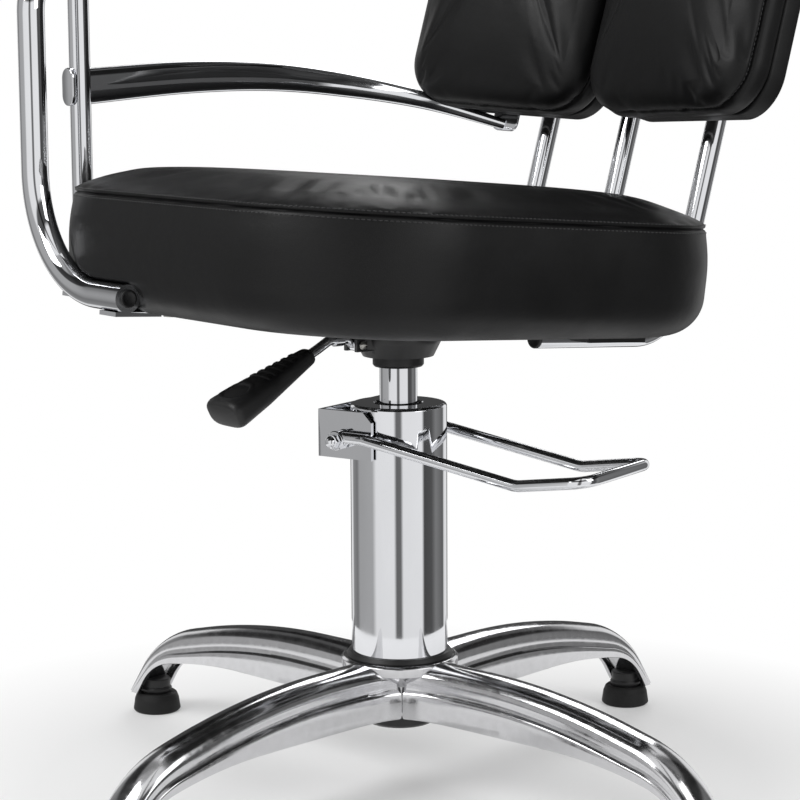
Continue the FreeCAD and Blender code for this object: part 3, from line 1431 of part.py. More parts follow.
def tab_bolt():
    # Holds the rail's tab to the right backing panel.
    start = -size("plate_thick") - 2 * size("seat_gap")
    across = size("rail_end_side")
    head = along_half(-1, across, TAB_BOLT_UP, start - size("screw_head_thick"), start,
                      size("screw_head"))
    bolt = head.fuse(along_half(-1, across, TAB_BOLT_UP, start, size("screw_bite"),
                                size("screw_radius")))
    bolt.Placement = HALF[-1]
    return bolt


made("arm_rail_bolt", tab_bolt())

# The headrest slides on two stems in guide blocks behind the panels.
GUIDE_ACROSS = size("head_stem_half") - size("back_split") / 2
STEM_OUT = -size("block_depth") / 2 - size("seat_gap")


def guide(side):
    up, half, depth = size("guide_up"), size("guide_half"), size("block_depth")
    x0, x1 = sorted((side * (GUIDE_ACROSS - half), side * (GUIDE_ACROSS + half)))
    block = box(x0, x1, up - half, up + half, -depth - size("seat_gap"), -size("seat_gap"))
    block = block.makeChamfer(size("plate_thick"), at_height(block, -depth - size("seat_gap")))
    bore = Part.makeCylinder(size("head_stem_radius") + size("run_clearance"), 4 * half,
                             half_point(side, GUIDE_ACROSS, up - 2 * half, STEM_OUT),
                             Vector(0, 1, 0))
    block = block.cut(bore)
    for across, level in guide_screws():
        block = block.cut(along_half(side, across, level, -2 * depth, size("cut_over"),
                                     size("screw_radius") + size("run_clearance")))
    block.Placement = HALF[side]
    return block


def guide_screw(side, across, up):
    start = -size("block_depth") - 2 * size("seat_gap")
    head = along_half(side, across, up, start - size("screw_head_thick"), start,
                      size("screw_head"))
    out = head.fuse(along_half(side, across, up, start, size("screw_bite"),
                               size("screw_radius")))
    out.Placement = HALF[side]
    return out


made("headrest_guides", group([guide(-1), guide(1)]))
made("headrest_guide_screws", group([guide_screw(side, across, up) for side in (-1, 1)
                                     for across, up in guide_screws()]))


def stem_low(side):
    up = size("guide_up") - size("stem_below")
    place = HALF[side].multVec(half_point(side, GUIDE_ACROSS, up, STEM_OUT))
    return BACK.inverse().multVec(place)


STEM_AT = stem_low(1)
BRACKET_NEAR = STEM_AT.y - size("head_stem_radius") - size("plate_thick")
BRACKET_LOW = size("head_up") - size("head_height") / 4


def headrest_stems():
    rods = []
    for side in (-1, 1):
        low = stem_low(side)
        high = Vector(low.x, low.y, BRACKET_LOW + size("head_height") / 2)
        rods.append(in_back(round_rod(low, high, size("head_stem_radius"))))
    return group(rods)


def head_screw_places():
    across, high = size("head_stem_half") * 1.6, size("head_height") / 8
    return [(x, size("head_up") + z) for x in (-across, across) for z in (-high, high)]


def headrest_bracket():
    # A plate across both stems, with a half groove for each.
    half = size("head_stem_half") * 1.9
    near = BRACKET_NEAR
    plate = box(-half, half, near, near + size("plate_thick") + size("head_stem_radius") * 0.6,
                BRACKET_LOW, BRACKET_LOW + size("head_height") / 2)
    plate.Placement = BACK
    for side in (-1, 1):
        low = stem_low(side)
        high = low + Vector(0, 0, size("back_height"))
        plate = plate.cut(in_back(round_rod(low, high,
                                            size("head_stem_radius") + size("run_clearance"))))
    for x, up in head_screw_places():
        plate = plate.cut(head_screw_rod(x, up, size("screw_radius") + size("run_clearance"), 1))
    return plate


def head_screw_rod(x, up, radius, over):
    near = BRACKET_NEAR + size("plate_thick") + size("head_stem_radius") * 0.6 + size("seat_gap")
    start = near + over * size("cut_over")
    depth = start - (BRACKET_NEAR - size("screw_bite")) + over * size("seat_gap")
    return in_back(Part.makeCylinder(radius, depth, Vector(x, start, up), Vector(0, -1, 0)))


def head_screw(x, up):
    near = BRACKET_NEAR + size("plate_thick") + size("head_stem_radius") * 0.6 + size("seat_gap")
    head = Part.makeCylinder(size("screw_head"), size("screw_head_thick"), Vector(x, near, up),
                             Vector(0, 1, 0))
    return in_back(head).fuse(head_screw_rod(x, up, size("screw_radius"), 0))


def headrest_board():
    thick, inset = size("head_board"), size("head_thick") / 5
    block = rounded_block(size("head_width") - 2 * inset, size("head_height") - 2 * inset,
                          size("head_height") / 5, 0, thick)
    block.Placement = BACK.multiply(Placement(
        Vector(0, BRACKET_NEAR - size("seat_gap"), size("head_up")),
        Rotation(Vector(1, 0, 0), 90)))
    for x, up in head_screw_places():
        block = block.cut(head_screw_rod(x, up, size("screw_radius") + size("run_clearance"), 1))
    return block


made("headrest_stems", headrest_stems())
made("headrest_bracket", headrest_bracket())
made("headrest_screws", group([head_screw(x, up) for x, up in head_screw_places()]))
made("headrest_board", headrest_board())


def headrest_cushion():
    width, height, thick = size("head_width"), size("head_height"), size("head_thick")
    corner = height * 0.36
    wall = soft_block(width, height, corner, 0, thick * 0.5, thick * 0.15, thick * 0.06)
    crease = size("seat_crease")
    cover = soft_block(width, height, corner, thick * 0.5 - crease, thick, crease, thick * 0.38,
                       crease)
    return wall.fuse(cover)


HEAD = BACK.multiply(Placement(
    Vector(0, BRACKET_NEAR - size("head_board") - 2 * size("seat_gap"), size("head_up")),
    Rotation(Vector(1, 0, 0), 90)))
made("headrest_cushion", headrest_cushion(), HEAD)

# Nothing is written unless every object and every piece is sound.
doc.recompute()
for obj in doc.Objects:
    if "Invalid" in obj.State or "Error" in obj.State:
        raise RuntimeError("%s did not compute: %s" % (obj.Label, obj.State))
for obj in NODES:
    if obj.Shape.isNull() or not obj.Shape.isValid():
        raise ValueError("%s has no sound shape" % obj.Label)
os.makedirs("parts", exist_ok=True)
for obj in NODES:
    obj.Shape.exportStep("parts/%s.step" % obj.Label)
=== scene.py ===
"""Threading chair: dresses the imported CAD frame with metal, leatherette and black mouldings.

The frame gives every place and size in metres, +Z up, with the sitter facing -Y.
"""

import json

import bmesh
import bpy
import numpy as np
from mathutils import Matrix, Vector

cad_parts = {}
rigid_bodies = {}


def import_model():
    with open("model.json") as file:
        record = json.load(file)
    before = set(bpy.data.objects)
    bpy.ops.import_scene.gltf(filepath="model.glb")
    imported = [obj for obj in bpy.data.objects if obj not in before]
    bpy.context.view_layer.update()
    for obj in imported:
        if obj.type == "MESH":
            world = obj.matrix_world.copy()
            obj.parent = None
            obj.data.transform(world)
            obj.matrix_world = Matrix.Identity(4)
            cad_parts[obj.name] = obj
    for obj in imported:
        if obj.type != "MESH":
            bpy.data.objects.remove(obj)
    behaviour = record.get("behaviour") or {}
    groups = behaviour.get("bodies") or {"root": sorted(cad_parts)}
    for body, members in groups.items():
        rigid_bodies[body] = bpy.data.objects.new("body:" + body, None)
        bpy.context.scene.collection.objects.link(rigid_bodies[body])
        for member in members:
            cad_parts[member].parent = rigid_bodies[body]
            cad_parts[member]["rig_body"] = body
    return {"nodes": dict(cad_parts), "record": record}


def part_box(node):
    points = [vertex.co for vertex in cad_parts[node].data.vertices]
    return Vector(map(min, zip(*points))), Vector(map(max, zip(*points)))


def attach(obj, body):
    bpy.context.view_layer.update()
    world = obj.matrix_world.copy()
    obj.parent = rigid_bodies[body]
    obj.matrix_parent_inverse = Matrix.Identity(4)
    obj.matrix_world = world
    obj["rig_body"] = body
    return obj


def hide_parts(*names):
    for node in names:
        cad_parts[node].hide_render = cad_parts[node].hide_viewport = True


bl_info = {
    "name": "Threading Chair",
    "version": (1, 0, 0),
    "blender": (4, 5, 0),
    "location": "View3D > Sidebar > Chair",
    "description": "Makes the finished pieces of a threading chair on its CAD frame",
    "category": "Add Mesh",
}

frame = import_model()
NODES = frame["nodes"]
SLOT_OF = {entry["node"]: entry["material_slot"] for entry in frame["record"]["subparts"]}
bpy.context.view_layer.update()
MM = 0.001
TURN = 2 * np.pi


def low(node):
    """A node's lowest corner at rest, as an array in metres."""
    return np.array(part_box(node)[0])


def high(node):
    """A node's highest corner at rest, as an array in metres."""
    return np.array(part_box(node)[1])


def linear(code):
    """A hex sRGB colour as linear red, green and blue with full alpha."""
    levels = np.array([int(code[i:i + 2], 16) / 255 for i in (1, 3, 5)])
    curve = np.where(levels <= 0.04045, levels / 12.92, ((levels + 0.055) / 1.055) ** 2.4)
    return (*curve.tolist(), 1.0)


def length(label, description, default):
    """A size that the user may change, in metres."""
    return bpy.props.FloatProperty(name=label, description=description, default=float(default),
                                   min=0.0, unit="LENGTH", precision=4)


def angle(label, description, default):
    """An angle that the user may change."""
    return bpy.props.FloatProperty(name=label, description=description,
                                   default=float(np.radians(default)), unit="ROTATION")


def colour(label, description, code):
    """A colour that the user may change, given as sRGB hex."""
    return bpy.props.FloatVectorProperty(name=label, description=description, subtype="COLOR",
                                         size=4, min=0.0, max=1.0, default=linear(code))


class ChairSizes(bpy.types.PropertyGroup):
    """The sizes that the finished pieces are made to."""

    star_turn: angle("Base turn", "Turn of the cast legs under the seat", 9)
    foot_reach: length("Foot reach", "Distance of a foot from the column's axis", 0.348)
    hub_top: length("Hub top", "Height of the hub's top face", high("star_base")[2])
    crown_half: length("Leg crown", "Half width of a leg's crown", 0.020)
    skirt_half: length("Leg skirt", "Half width of a leg's skirt", 0.024)
    skirt_wall: length("Leg wall", "Wall of a leg's skirt", 0.0045)
    cover_radius: length("Cover radius", "Radius of the pump cover",
                         (high("pump_cover") - low("pump_cover"))[0] / 2)
    piston_radius: length("Piston radius", "Radius of the polished piston",
                          (high("piston") - low("piston"))[0] / 2)
    arm_tube_radius: length("Arm tube", "Radius of the front arm tube", 0.0125)
    post_radius: length("Arm post", "Radius of the rear arm post",
                        (high("arm_post") - low("arm_post"))[0] / 2)
    back_tube_radius: length("Back tubes", "Radius of the backrest's tubes", 0.0095)
    pedal_rod: length("Pedal rod", "Radius of the pedal's rod", 0.00525)
    lever_rod: length("Lever rod", "Radius of the lever's rod", 0.0045)
    seat_width: length("Seat width", "Width of the seat cushion", 0.500)
    seat_corner: length("Seat corner", "Corner radius of the seat cushion", 0.150)
    seat_seam: length("Seat seam", "Height of the seat's seam over its underside", 0.092)
    seat_thick: length("Seat thickness", "Height of the seat's crown over its underside", 0.119)
    seat_rise: length("Seat rise", "How much higher the seam is sewn in front", 0.006)
    seat_lip: length("Seat lip", "How far the seat's lower edge hangs past its board", 0.004)
    back_drop: length("Back drop", "How far a back cushion hangs past its panel", 0.009)
    seat_tilt: angle("Seat tilt", "Backward lean of the seat", 4)
    back_lean: angle("Back lean", "Lean of the backrest", 16.5)
    back_height: length("Back height", "Length of a back cushion along its lean", 0.400)
    back_thick: length("Back thickness", "Thickness of a back cushion", 0.062)
    back_corner: length("Back corner", "Corner radius of a back cushion", 0.046)
    stitch_pitch: length("Stitch pitch", "Distance from one stitch to the next", 0.0046)
    camera_distance: length("Camera distance", "Distance of the camera from the axis", 2.182)
    camera_height: length("Camera height", "Height of the camera", 0.690)
    camera_azimuth: angle("Camera azimuth", "Turn of the camera round the chair", 52)
    camera_pitch: angle("Camera pitch", "Downward pitch of the camera", 8.55)
    camera_roll: angle("Camera roll", "Roll of the camera", 0.3)


class ChairColours(bpy.types.PropertyGroup):
    """The colours of the chair's finishes."""

    aluminium: colour("Cast aluminium", "Polished cast legs", "#dcdcde")
    chrome: colour("Chrome", "Chromed tubes, rods and cover", "#e6e7ea")
    zinc: colour("Zinc", "Zinc plated screws and bolts", "#b9b8b3")
    leatherette: colour("Leatherette", "Black vinyl covers", "#0e0e0f")
    thread: colour("Thread", "Black seam thread", "#1c1c1e")
    paint: colour("Paint", "Black powder coat", "#121213")
    plastic: colour("Plastic", "Black moulded plastic", "#141415")
    rubber: colour("Rubber", "Black rubber", "#151515")
    board: colour("Board lining", "Black lining of the boards", "#181817")
    floor: colour("Floor", "Pale studio floor", "#ececec")


def sizes():
    """The sizes as the panel has them."""
    return bpy.context.scene.chair_sizes


def colours():
    """The colours as the panel has them."""
    return bpy.context.scene.chair_colours


# Shapes, each worked out as whole arrays.


def unit(vectors):
    """Vectors along the last axis, each divided by its length."""
    return vectors / np.linalg.norm(vectors, axis=-1, keepdims=True)


def rounded_path(corners, bends, steps=14):
    """Straight runs through the corners; a tangent arc of each bend's radius rounds its corner."""
    corners = np.asarray(corners, float)
    stretches = [corners[:1]]
    for before, corner, after, bend in zip(corners, corners[1:], corners[2:], bends):
        a, b = unit(corner - before), unit(after - corner)
        turn = np.arccos(np.clip(a @ b, -1, 1))
        inward = unit(b - a * (a @ b))
        at = np.linspace(0, turn, steps)[:, None]
        start = corner - a * bend * np.tan(turn / 2)
        stretches.append(start + bend * (np.sin(at) * a + (1 - np.cos(at)) * inward))
    stretches.append(corners[-1:])
    return np.concatenate(stretches)


def spline(points, count):
    """A smooth curve of count places through the points: a cubic between each two of them, whose
    slope at a point is half the way from the point before it to the one after it."""
    points = np.asarray(points, float)
    ahead, behind = 2 * points[:1] - points[1:2], 2 * points[-1:] - points[-2:-1]
    longer = np.concatenate([ahead, points, behind])
    at = np.linspace(0, len(points) - 1, count)
    k = np.minimum(at.astype(int), len(points) - 2)
    t = (at - k)[:, None]
    p0, p1, p2, p3 = longer[k], longer[k + 1], longer[k + 2], longer[k + 3]
    return 0.5 * (2 * p1 + (p2 - p0) * t + (2 * p0 - 5 * p1 + 4 * p2 - p3) * t ** 2
                  + (3 * p1 - p0 - 3 * p2 + p3) * t ** 3)


def surface(grid, ring=False):
    """Points and faces of a grid whose columns close on themselves.

    A ring also joins its last row to its first; otherwise one face caps each end row.
    """
    rows, cols = grid.shape[:2]
    here = np.arange(rows * cols).reshape(rows, cols)
    there = np.roll(here, -1, axis=0) if ring else here[1:]
    base = here if ring else here[:-1]
    quads = np.stack([base, np.roll(base, -1, 1), np.roll(there, -1, 1), there], -1)
    faces = quads.reshape(-1, 4).tolist()
    if not ring:
        faces += [here[0][::-1].tolist(), here[-1].tolist()]
    return grid.reshape(-1, 3), faces


def directions(path):
    """The direction at each path point: the mean of the runs before and after it."""
    runs = unit(np.diff(path, axis=0))
    return unit(np.concatenate([runs[:1], runs[:-1] + runs[1:], runs[-1:]]))


def without_repeats(path):
    """A path with each point that repeats the one before it left out."""
    keep = np.linalg.norm(np.diff(path, axis=0), axis=1) > 1e-7
    return path[np.concatenate([[True], keep])]


def swept(path, wide, tall, sides=48, reference=(0.0, 0.0, 1.0)):
    """An oval carried along a path: half widths to the side, half heights square to that.

    Each point is path + side * wide * cos(t) + over * tall * sin(t).
    """
    path = without_repeats(np.asarray(path, float))
    along = directions(path)
    side = unit(np.cross(along, np.asarray(reference, float)))
    over = np.cross(side, along)
    t = np.linspace(0, TURN, sides, endpoint=False)
    wide = np.broadcast_to(wide, len(path))[:, None, None]
    tall = np.broadcast_to(tall, len(path))[:, None, None]
    return (path[:, None] + side[:, None] * wide * np.cos(t)[None, :, None]
            + over[:, None] * tall * np.sin(t)[None, :, None])


def tube(path, radius, sides=48, reference=(0.31, -0.52, 0.8)):
    """A round tube: a circle carried square to the path, capped at both ends."""
    return surface(swept(path, radius, radius, sides, reference))


def lathe(outline, sides=96, ring=False, place=Matrix.Identity(4)):
    """A turned form: (radius, height) points carried round the vertical axis, then placed."""
    outline = np.asarray(outline, float)
    t = np.linspace(0, TURN, sides, endpoint=False)
    r, z = outline[:, :1], outline[:, 1:]
    grid = np.stack([r * np.cos(t), r * np.sin(t), np.broadcast_to(z, (len(outline), sides))], -1)
    points, faces = surface(grid, ring)
    return placed(points, place), faces


def softened(outline, bend):
    """A (radius, height) outline with each inner corner rounded by the same small bend."""
    flat = np.insert(np.asarray(outline, float), 1, 0.0, axis=1)
    return rounded_path(flat, [bend] * (len(flat) - 2), 6)[:, [0, 2]]


def placed(points, place):
    """Points moved by a placement."""
    m = np.array(place)
    return points @ m[:3, :3].T + m[:3, 3]


def rounded_outline(half_x, half_y, corner, per_arc=20, per_side=16):
    """A rectangle with round corners, counter clockwise, as points in a plane."""
    arcs = []
    t = np.linspace(0, np.pi / 2, per_arc)
    corners = [(1, 1, 0), (-1, 1, 1), (-1, -1, 2), (1, -1, 3)]
    for sx, sy, quarter in corners:
        centre = np.array([sx * (half_x - corner), sy * (half_y - corner)])
        at = t + quarter * np.pi / 2
        arcs.append(centre + corner * np.stack([np.cos(at), np.sin(at)], -1))
    sides = []
    for arc, following in zip(arcs, arcs[1:] + arcs[:1]):
        share = np.linspace(0, 1, per_side + 2)[1:-1, None]
        sides += [arc, arc[-1] + share * (following[0] - arc[-1])]
    return np.concatenate(sides)


def piece(name, node, shells, sharp=50, look=None):
    """One object of closed shells that shows a CAD node, on its body and in its slot.

    Its faces point outwards and shade smooth up to the sharp angle. Without a look of its own it
    has its slot's finish. A piece of thread lies on the node's cover and replaces no node.
    """
    slot = SLOT_OF[node]
    mesh = bpy.data.meshes.new(name)
    whole = bmesh.new()
    for points, faces in shells:
        part = bpy.data.meshes.new("shell")
        part.from_pydata(np.asarray(points).tolist(), [], faces)
        shell = bmesh.new()
        shell.from_mesh(part)
        if shell.calc_volume(signed=True) < 0:
            bmesh.ops.reverse_faces(shell, faces=shell.faces)
        shell.to_mesh(part)
        shell.free()
        whole.from_mesh(part)
        bpy.data.meshes.remove(part)
    whole.to_mesh(mesh)
    whole.free()
    mesh.polygons.foreach_set("use_smooth", np.ones(len(mesh.polygons), bool))
    mesh.set_sharp_from_angle(angle=np.radians(sharp))
    mesh.materials.append(finish(look or slot))
    made = bpy.data.objects.new(name, mesh)
    bpy.context.scene.collection.objects.link(made)
    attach(made, NODES[node]["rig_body"])
    if look != "thread":
        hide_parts(node)
    return made


def polished_copy(node, sharp=32):
    """A copy of a CAD node with its facets joined and shaded smooth between its real edges."""
    source = NODES[node]
    work = bmesh.new()
    work.from_mesh(source.data)
    bmesh.ops.remove_doubles(work, verts=work.verts, dist=2e-6)
    mesh = bpy.data.meshes.new(node + "_finish")
    work.to_mesh(mesh)
    work.free()
    mesh.polygons.foreach_set("use_smooth", np.ones(len(mesh.polygons), bool))
    mesh.set_sharp_from_angle(angle=np.radians(sharp))
    mesh.materials.clear()
    mesh.materials.append(finish(SLOT_OF[node]))
    made = bpy.data.objects.new(node + "_finish", mesh)
    bpy.context.scene.collection.objects.link(made)
    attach(made, source["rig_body"])
    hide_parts(node)


def smooth_copies(*nodes):
    """Polished copies of CAD nodes, each in its own slot's finish."""
    for node in nodes:
        polished_copy(node)


# Finishes. Each is a node material named for what the real surface is.


def add(tree, kind, inputs, **settings):
    """Adds a shader node. An input is a value, or the socket or the node that feeds it."""
    made = tree.nodes.new("ShaderNode" + kind)
    for name, value in settings.items():
        setattr(made, name, value)
    for name, value in inputs.items():
        entry = next(i for at, i in enumerate(made.inputs) if name in (at, i.name) and i.enabled)
        if isinstance(value, bpy.types.Node):
            value = next(o for o in value.outputs if o.enabled)
        if isinstance(value, bpy.types.NodeSocket):
            tree.links.new(value, entry)
        else:
            entry.default_value = value
    return made


def started(name):
    """An empty material, its node tree and the place of each point on the object."""
    material = bpy.data.materials.new(name)
    material.use_nodes = True
    tree = material.node_tree
    tree.nodes.clear()
    return material, tree, add(tree, "TexCoord", {}).outputs["Object"]


def surfaced(tree, inputs):
    """Ends a finish: its shader with all its inputs, and the output that shows it."""
    add(tree, "OutputMaterial", {"Surface": add(tree, "BsdfPrincipled", inputs)})


def per_mm(pattern):
    """The scale at which a pattern's cells are this many millimetres wide."""
    return 1 / (pattern * MM)


def shade(colour_value, factor):
    """A colour made darker or lighter by a factor."""
    return (*[min(channel * factor, 1.0) for channel in colour_value[:3]], 1.0)


# Noise hardly leaves this span, which is taken to the range that a finish needs.
NOISE_SPAN = {"From Min": 0.3, "From Max": 0.7}


def polished_cast_aluminium():
    """Sand cast aluminium, ground and buffed: bright, a little wavy, with a soft buffing haze."""
    material, tree, place = started("polished_cast_aluminium")
    waves = add(tree, "TexNoise", {"Vector": place, "Scale": per_mm(55), "Detail": 2.0})
    haze = add(tree, "TexNoise", {"Vector": place, "Scale": per_mm(9), "Detail": 5.0,
                                  "Roughness": 0.6})
    buffed = add(tree, "MapRange", {"Value": haze, **NOISE_SPAN})
    tone = add(tree, "Mix", {"Factor": buffed, "A": shade(colours().aluminium, 0.90),
                             "B": tuple(colours().aluminium)}, data_type="RGBA")
    rough = add(tree, "MapRange", {"Value": haze, **NOISE_SPAN, "To Min": 0.10, "To Max": 0.19})
    ground = add(tree, "Bump", {"Height": waves, "Distance": 0.35 * MM, "Strength": 0.5})
    fine = add(tree, "Bump", {"Height": haze, "Distance": 0.02 * MM, "Strength": 0.5,
                              "Normal": ground})
    surfaced(tree, {"Metallic": 1.0, "Base Color": tone, "Roughness": rough, "Normal": fine})
    return material


def bright_chrome():
    """Nickel chrome plate on steel tube: a clean mirror with the faint haze of wiping."""
    material, tree, place = started("bright_chrome_plate")
    upward = add(tree, "Mapping", {"Vector": place, "Scale": (1, 1, 0.3)})
    wiping = add(tree, "TexNoise", {"Vector": upward, "Scale": per_mm(30), "Detail": 4.0,
                                    "Roughness": 0.6})
    wiped = add(tree, "MapRange", {"Value": wiping, **NOISE_SPAN})
    tone = add(tree, "Mix", {"Factor": wiped, "A": shade(colours().chrome, 0.95),
                             "B": tuple(colours().chrome)}, data_type="RGBA")
    rough = add(tree, "MapRange", {"Value": wiping, **NOISE_SPAN, "To Min": 0.025,
                                   "To Max": 0.065})
    fine = add(tree, "Bump", {"Height": wiping, "Distance": 0.04 * MM, "Strength": 0.4})
    surfaced(tree, {"Metallic": 1.0, "Base Color": tone, "Roughness": rough, "Normal": fine})
    return material


def zinc_plate():
    """Bright zinc plate on steel screws, a little cloudy."""
    material, tree, place = started("zinc_plated_steel")
    cloud = add(tree, "TexNoise", {"Vector": place, "Scale": per_mm(2.5), "Detail": 4.0,
                                   "Roughness": 0.6})
    clear = add(tree, "MapRange", {"Value": cloud, **NOISE_SPAN})
    tone = add(tree, "Mix", {"Factor": clear, "A": shade(colours().zinc, 0.80),
                             "B": tuple(colours().zinc)}, data_type="RGBA")
    rough = add(tree, "MapRange", {"Value": cloud, **NOISE_SPAN, "To Min": 0.24, "To Max": 0.40})
    fine = add(tree, "Bump", {"Height": cloud, "Distance": 0.02 * MM, "Strength": 0.5})
    surfaced(tree, {"Metallic": 1.0, "Base Color": tone, "Roughness": rough, "Normal": fine})
    return material


def black_leatherette():
    """Vinyl upholstery: a low sheen over a fine pebble grain, creased a little where it is pulled.

    The grain's cells are 1.3 mm wide, the coarse end of such a cloth, so that they show; the
    grooves between them are darkened as painted shade.
    """
    material, tree, place = started("black_leatherette")
    cell, wander = 1.3, 1.2
    drift = add(tree, "TexNoise", {"Vector": place, "Scale": per_mm(6), "Detail": 2.0})
    shift = add(tree, "VectorMath", {0: drift, "Scale": wander * MM}, operation="SCALE")
    bent = add(tree, "VectorMath", {0: place, 1: shift}, operation="ADD")
    cells = add(tree, "TexVoronoi", {"Vector": bent, "Scale": per_mm(cell), "Randomness": 0.9},
                feature="DISTANCE_TO_EDGE")
    pebble_and_groove_shade = add(tree, "MapRange", {"Value": cells, "From Min": 0.0, "From Max": 0.28,
                                    "To Min": 0.0, "To Max": 1.0})
    lengthwise = add(tree, "Mapping", {"Vector": place, "Scale": (1, 1, 1.6)})
    creases = add(tree, "TexNoise", {"Vector": lengthwise, "Scale": per_mm(22), "Detail": 4.0,
                                     "Roughness": 0.6})
    blotch = add(tree, "TexNoise", {"Vector": place, "Scale": per_mm(60), "Detail": 3.0})
    worn = add(tree, "MapRange", {"Value": blotch, **NOISE_SPAN})
    vinyl = colours().leatherette
    tone = add(tree, "Mix", {"Factor": worn, "A": shade(vinyl, 0.8), "B": shade(vinyl, 1.25)},
               data_type="RGBA")
    # The grooves between the pebbles are darkened to 0.55 of the vinyl: painted shade in the
    # grain's grooves. The same mask is the grain's bump height.
    tone = add(tree, "Mix", {"Factor": pebble_and_groove_shade, "A": shade(vinyl, 0.55), "B": tone},
               data_type="RGBA")
    rough = add(tree, "MapRange", {"Value": blotch, **NOISE_SPAN, "To Min": 0.40, "To Max": 0.52})
    grain = add(tree, "Bump", {"Height": pebble_and_groove_shade, "Distance": 0.05 * MM, "Strength": 0.55})
    pulled = add(tree, "Bump", {"Height": creases, "Distance": 0.9 * MM, "Strength": 0.30,
                                "Normal": grain})
    soft = add(tree, "Bump", {"Height": blotch, "Distance": 1.6 * MM, "Strength": 0.35,
                              "Normal": pulled})
    surfaced(tree, {"IOR": 1.5, "Specular IOR Level": 0.30, "Base Color": tone,
                    "Roughness": rough, "Normal": soft})
    return material


def black_thread():
    """Bonded polyester thread: matt, with the lay of its strands across each stitch."""
    material, tree, place = started("black_polyester_thread")
    lay = add(tree, "TexWave", {"Vector": place, "Scale": per_mm(1.6), "Distortion": 1.5},
              bands_direction="DIAGONAL").outputs["Fac"]
    tone = add(tree, "Mix", {"Factor": lay, "A": shade(colours().thread, 0.7),
                             "B": shade(colours().thread, 1.5)}, data_type="RGBA")
    rough = add(tree, "MapRange", {"Value": lay, "To Min": 0.62, "To Max": 0.78})
    strands = add(tree, "Bump", {"Height": lay, "Distance": 0.08 * MM, "Strength": 0.6})
    surfaced(tree, {"Sheen Weight": 0.25, "Base Color": tone, "Roughness": rough,
                    "Normal": strands})
    return material


def black_powder_coat():
    """Polyester powder coat on steel: satin, with the fine orange peel of the baked powder."""
    material, tree, place = started("black_powder_coat")
    peel = add(tree, "TexNoise", {"Vector": place, "Scale": per_mm(1.8), "Detail": 2.0})
    wear = add(tree, "TexNoise", {"Vector": place, "Scale": per_mm(24), "Detail": 5.0,
                                  "Roughness": 0.65})
    rubbed = add(tree, "MapRange", {"Value": wear, "From Min": 0.45, "From Max": 0.75,
                                    "To Min": 0.0, "To Max": 1.0})
    tone = add(tree, "Mix", {"Factor": rubbed, "A": tuple(colours().paint),
                             "B": shade(colours().paint, 1.7)}, data_type="RGBA")
    rough = add(tree, "MapRange", {"Value": wear, **NOISE_SPAN, "To Min": 0.36, "To Max": 0.48})
    baked = add(tree, "Bump", {"Height": peel, "Distance": 0.06 * MM, "Strength": 0.5})
    surfaced(tree, {"IOR": 1.5, "Coat Weight": 0.15, "Coat Roughness": 0.25, "Base Color": tone,
                    "Roughness": rough, "Normal": baked})
    return material


def moulded_plastic():
    """Black injection moulded nylon with a fine spark eroded grain."""
    material, tree, place = started("moulded_black_nylon")
    grain = add(tree, "TexNoise", {"Vector": place, "Scale": per_mm(0.9), "Detail": 3.0,
                                   "Roughness": 0.6})
    flow = add(tree, "TexNoise", {"Vector": place, "Scale": per_mm(18), "Detail": 3.0})
    filled = add(tree, "MapRange", {"Value": flow, **NOISE_SPAN})
    tone = add(tree, "Mix", {"Factor": filled, "A": shade(colours().plastic, 0.8),
                             "B": shade(colours().plastic, 1.35)}, data_type="RGBA")
    rough = add(tree, "MapRange", {"Value": flow, **NOISE_SPAN, "To Min": 0.42, "To Max": 0.56})
    eroded = add(tree, "Bump", {"Height": grain, "Distance": 0.07 * MM, "Strength": 0.55})
    surfaced(tree, {"IOR": 1.53, "Base Color": tone, "Roughness": rough, "Normal": eroded})
    return material


def black_rubber():
    """Moulded rubber of the feet: nearly matt, dusty near the floor."""
    material, tree, place = started("moulded_black_rubber")
    grain = add(tree, "TexNoise", {"Vector": place, "Scale": per_mm(1.4), "Detail": 3.0})
    dust = add(tree, "TexNoise", {"Vector": place, "Scale": per_mm(7), "Detail": 4.0,
                                  "Roughness": 0.6})
    dusty = add(tree, "MapRange", {"Value": dust, "From Min": 0.45, "From Max": 0.8,
                                   "To Min": 0.0, "To Max": 1.0})
    tone = add(tree, "Mix", {"Factor": dusty, "A": tuple(colours().rubber),
                             "B": shade(colours().rubber, 2.2)}, data_type="RGBA")
    rough = add(tree, "MapRange", {"Value": dust, **NOISE_SPAN, "To Min": 0.55, "To Max": 0.72})
    fine = add(tree, "Bump", {"Height": grain, "Distance": 0.06 * MM, "Strength": 0.5})
    surfaced(tree, {"IOR": 1.52, "Specular IOR Level": 0.35, "Base Color": tone,
                    "Roughness": rough, "Normal": fine})
    return material


def board_lining():
    """Black non-woven lining stapled over plywood: felted fibres with no shine."""
    material, tree, place = started("black_lining_on_plywood")
    across = add(tree, "Mapping", {"Vector": place, "Scale": (1, 0.35, 1)})
    fibres = add(tree, "TexNoise", {"Vector": across, "Scale": per_mm(1.1), "Detail": 6.0,
                                    "Roughness": 0.75})
    felt = add(tree, "MapRange", {"Value": fibres, **NOISE_SPAN})
    tone = add(tree, "Mix", {"Factor": felt, "A": shade(colours().board, 0.7),
                             "B": shade(colours().board, 1.6)}, data_type="RGBA")
    rough = add(tree, "MapRange", {"Value": fibres, **NOISE_SPAN, "To Min": 0.82, "To Max": 0.95})
    matted = add(tree, "Bump", {"Height": fibres, "Distance": 0.15 * MM, "Strength": 0.6})
    surfaced(tree, {"Sheen Weight": 0.2, "Specular IOR Level": 0.2, "Base Color": tone,
                    "Roughness": rough, "Normal": matted})
    return material


FINISHES = {
    "cast_aluminium": polished_cast_aluminium,
    "chrome": bright_chrome,
    "zinc_steel": zinc_plate,
    "black_steel": black_powder_coat,
    "black_plastic": moulded_plastic,
    "rubber": black_rubber,
    "black_board": board_lining,
    "leatherette": black_leatherette,
    "thread": black_thread,
}
_finished = {}


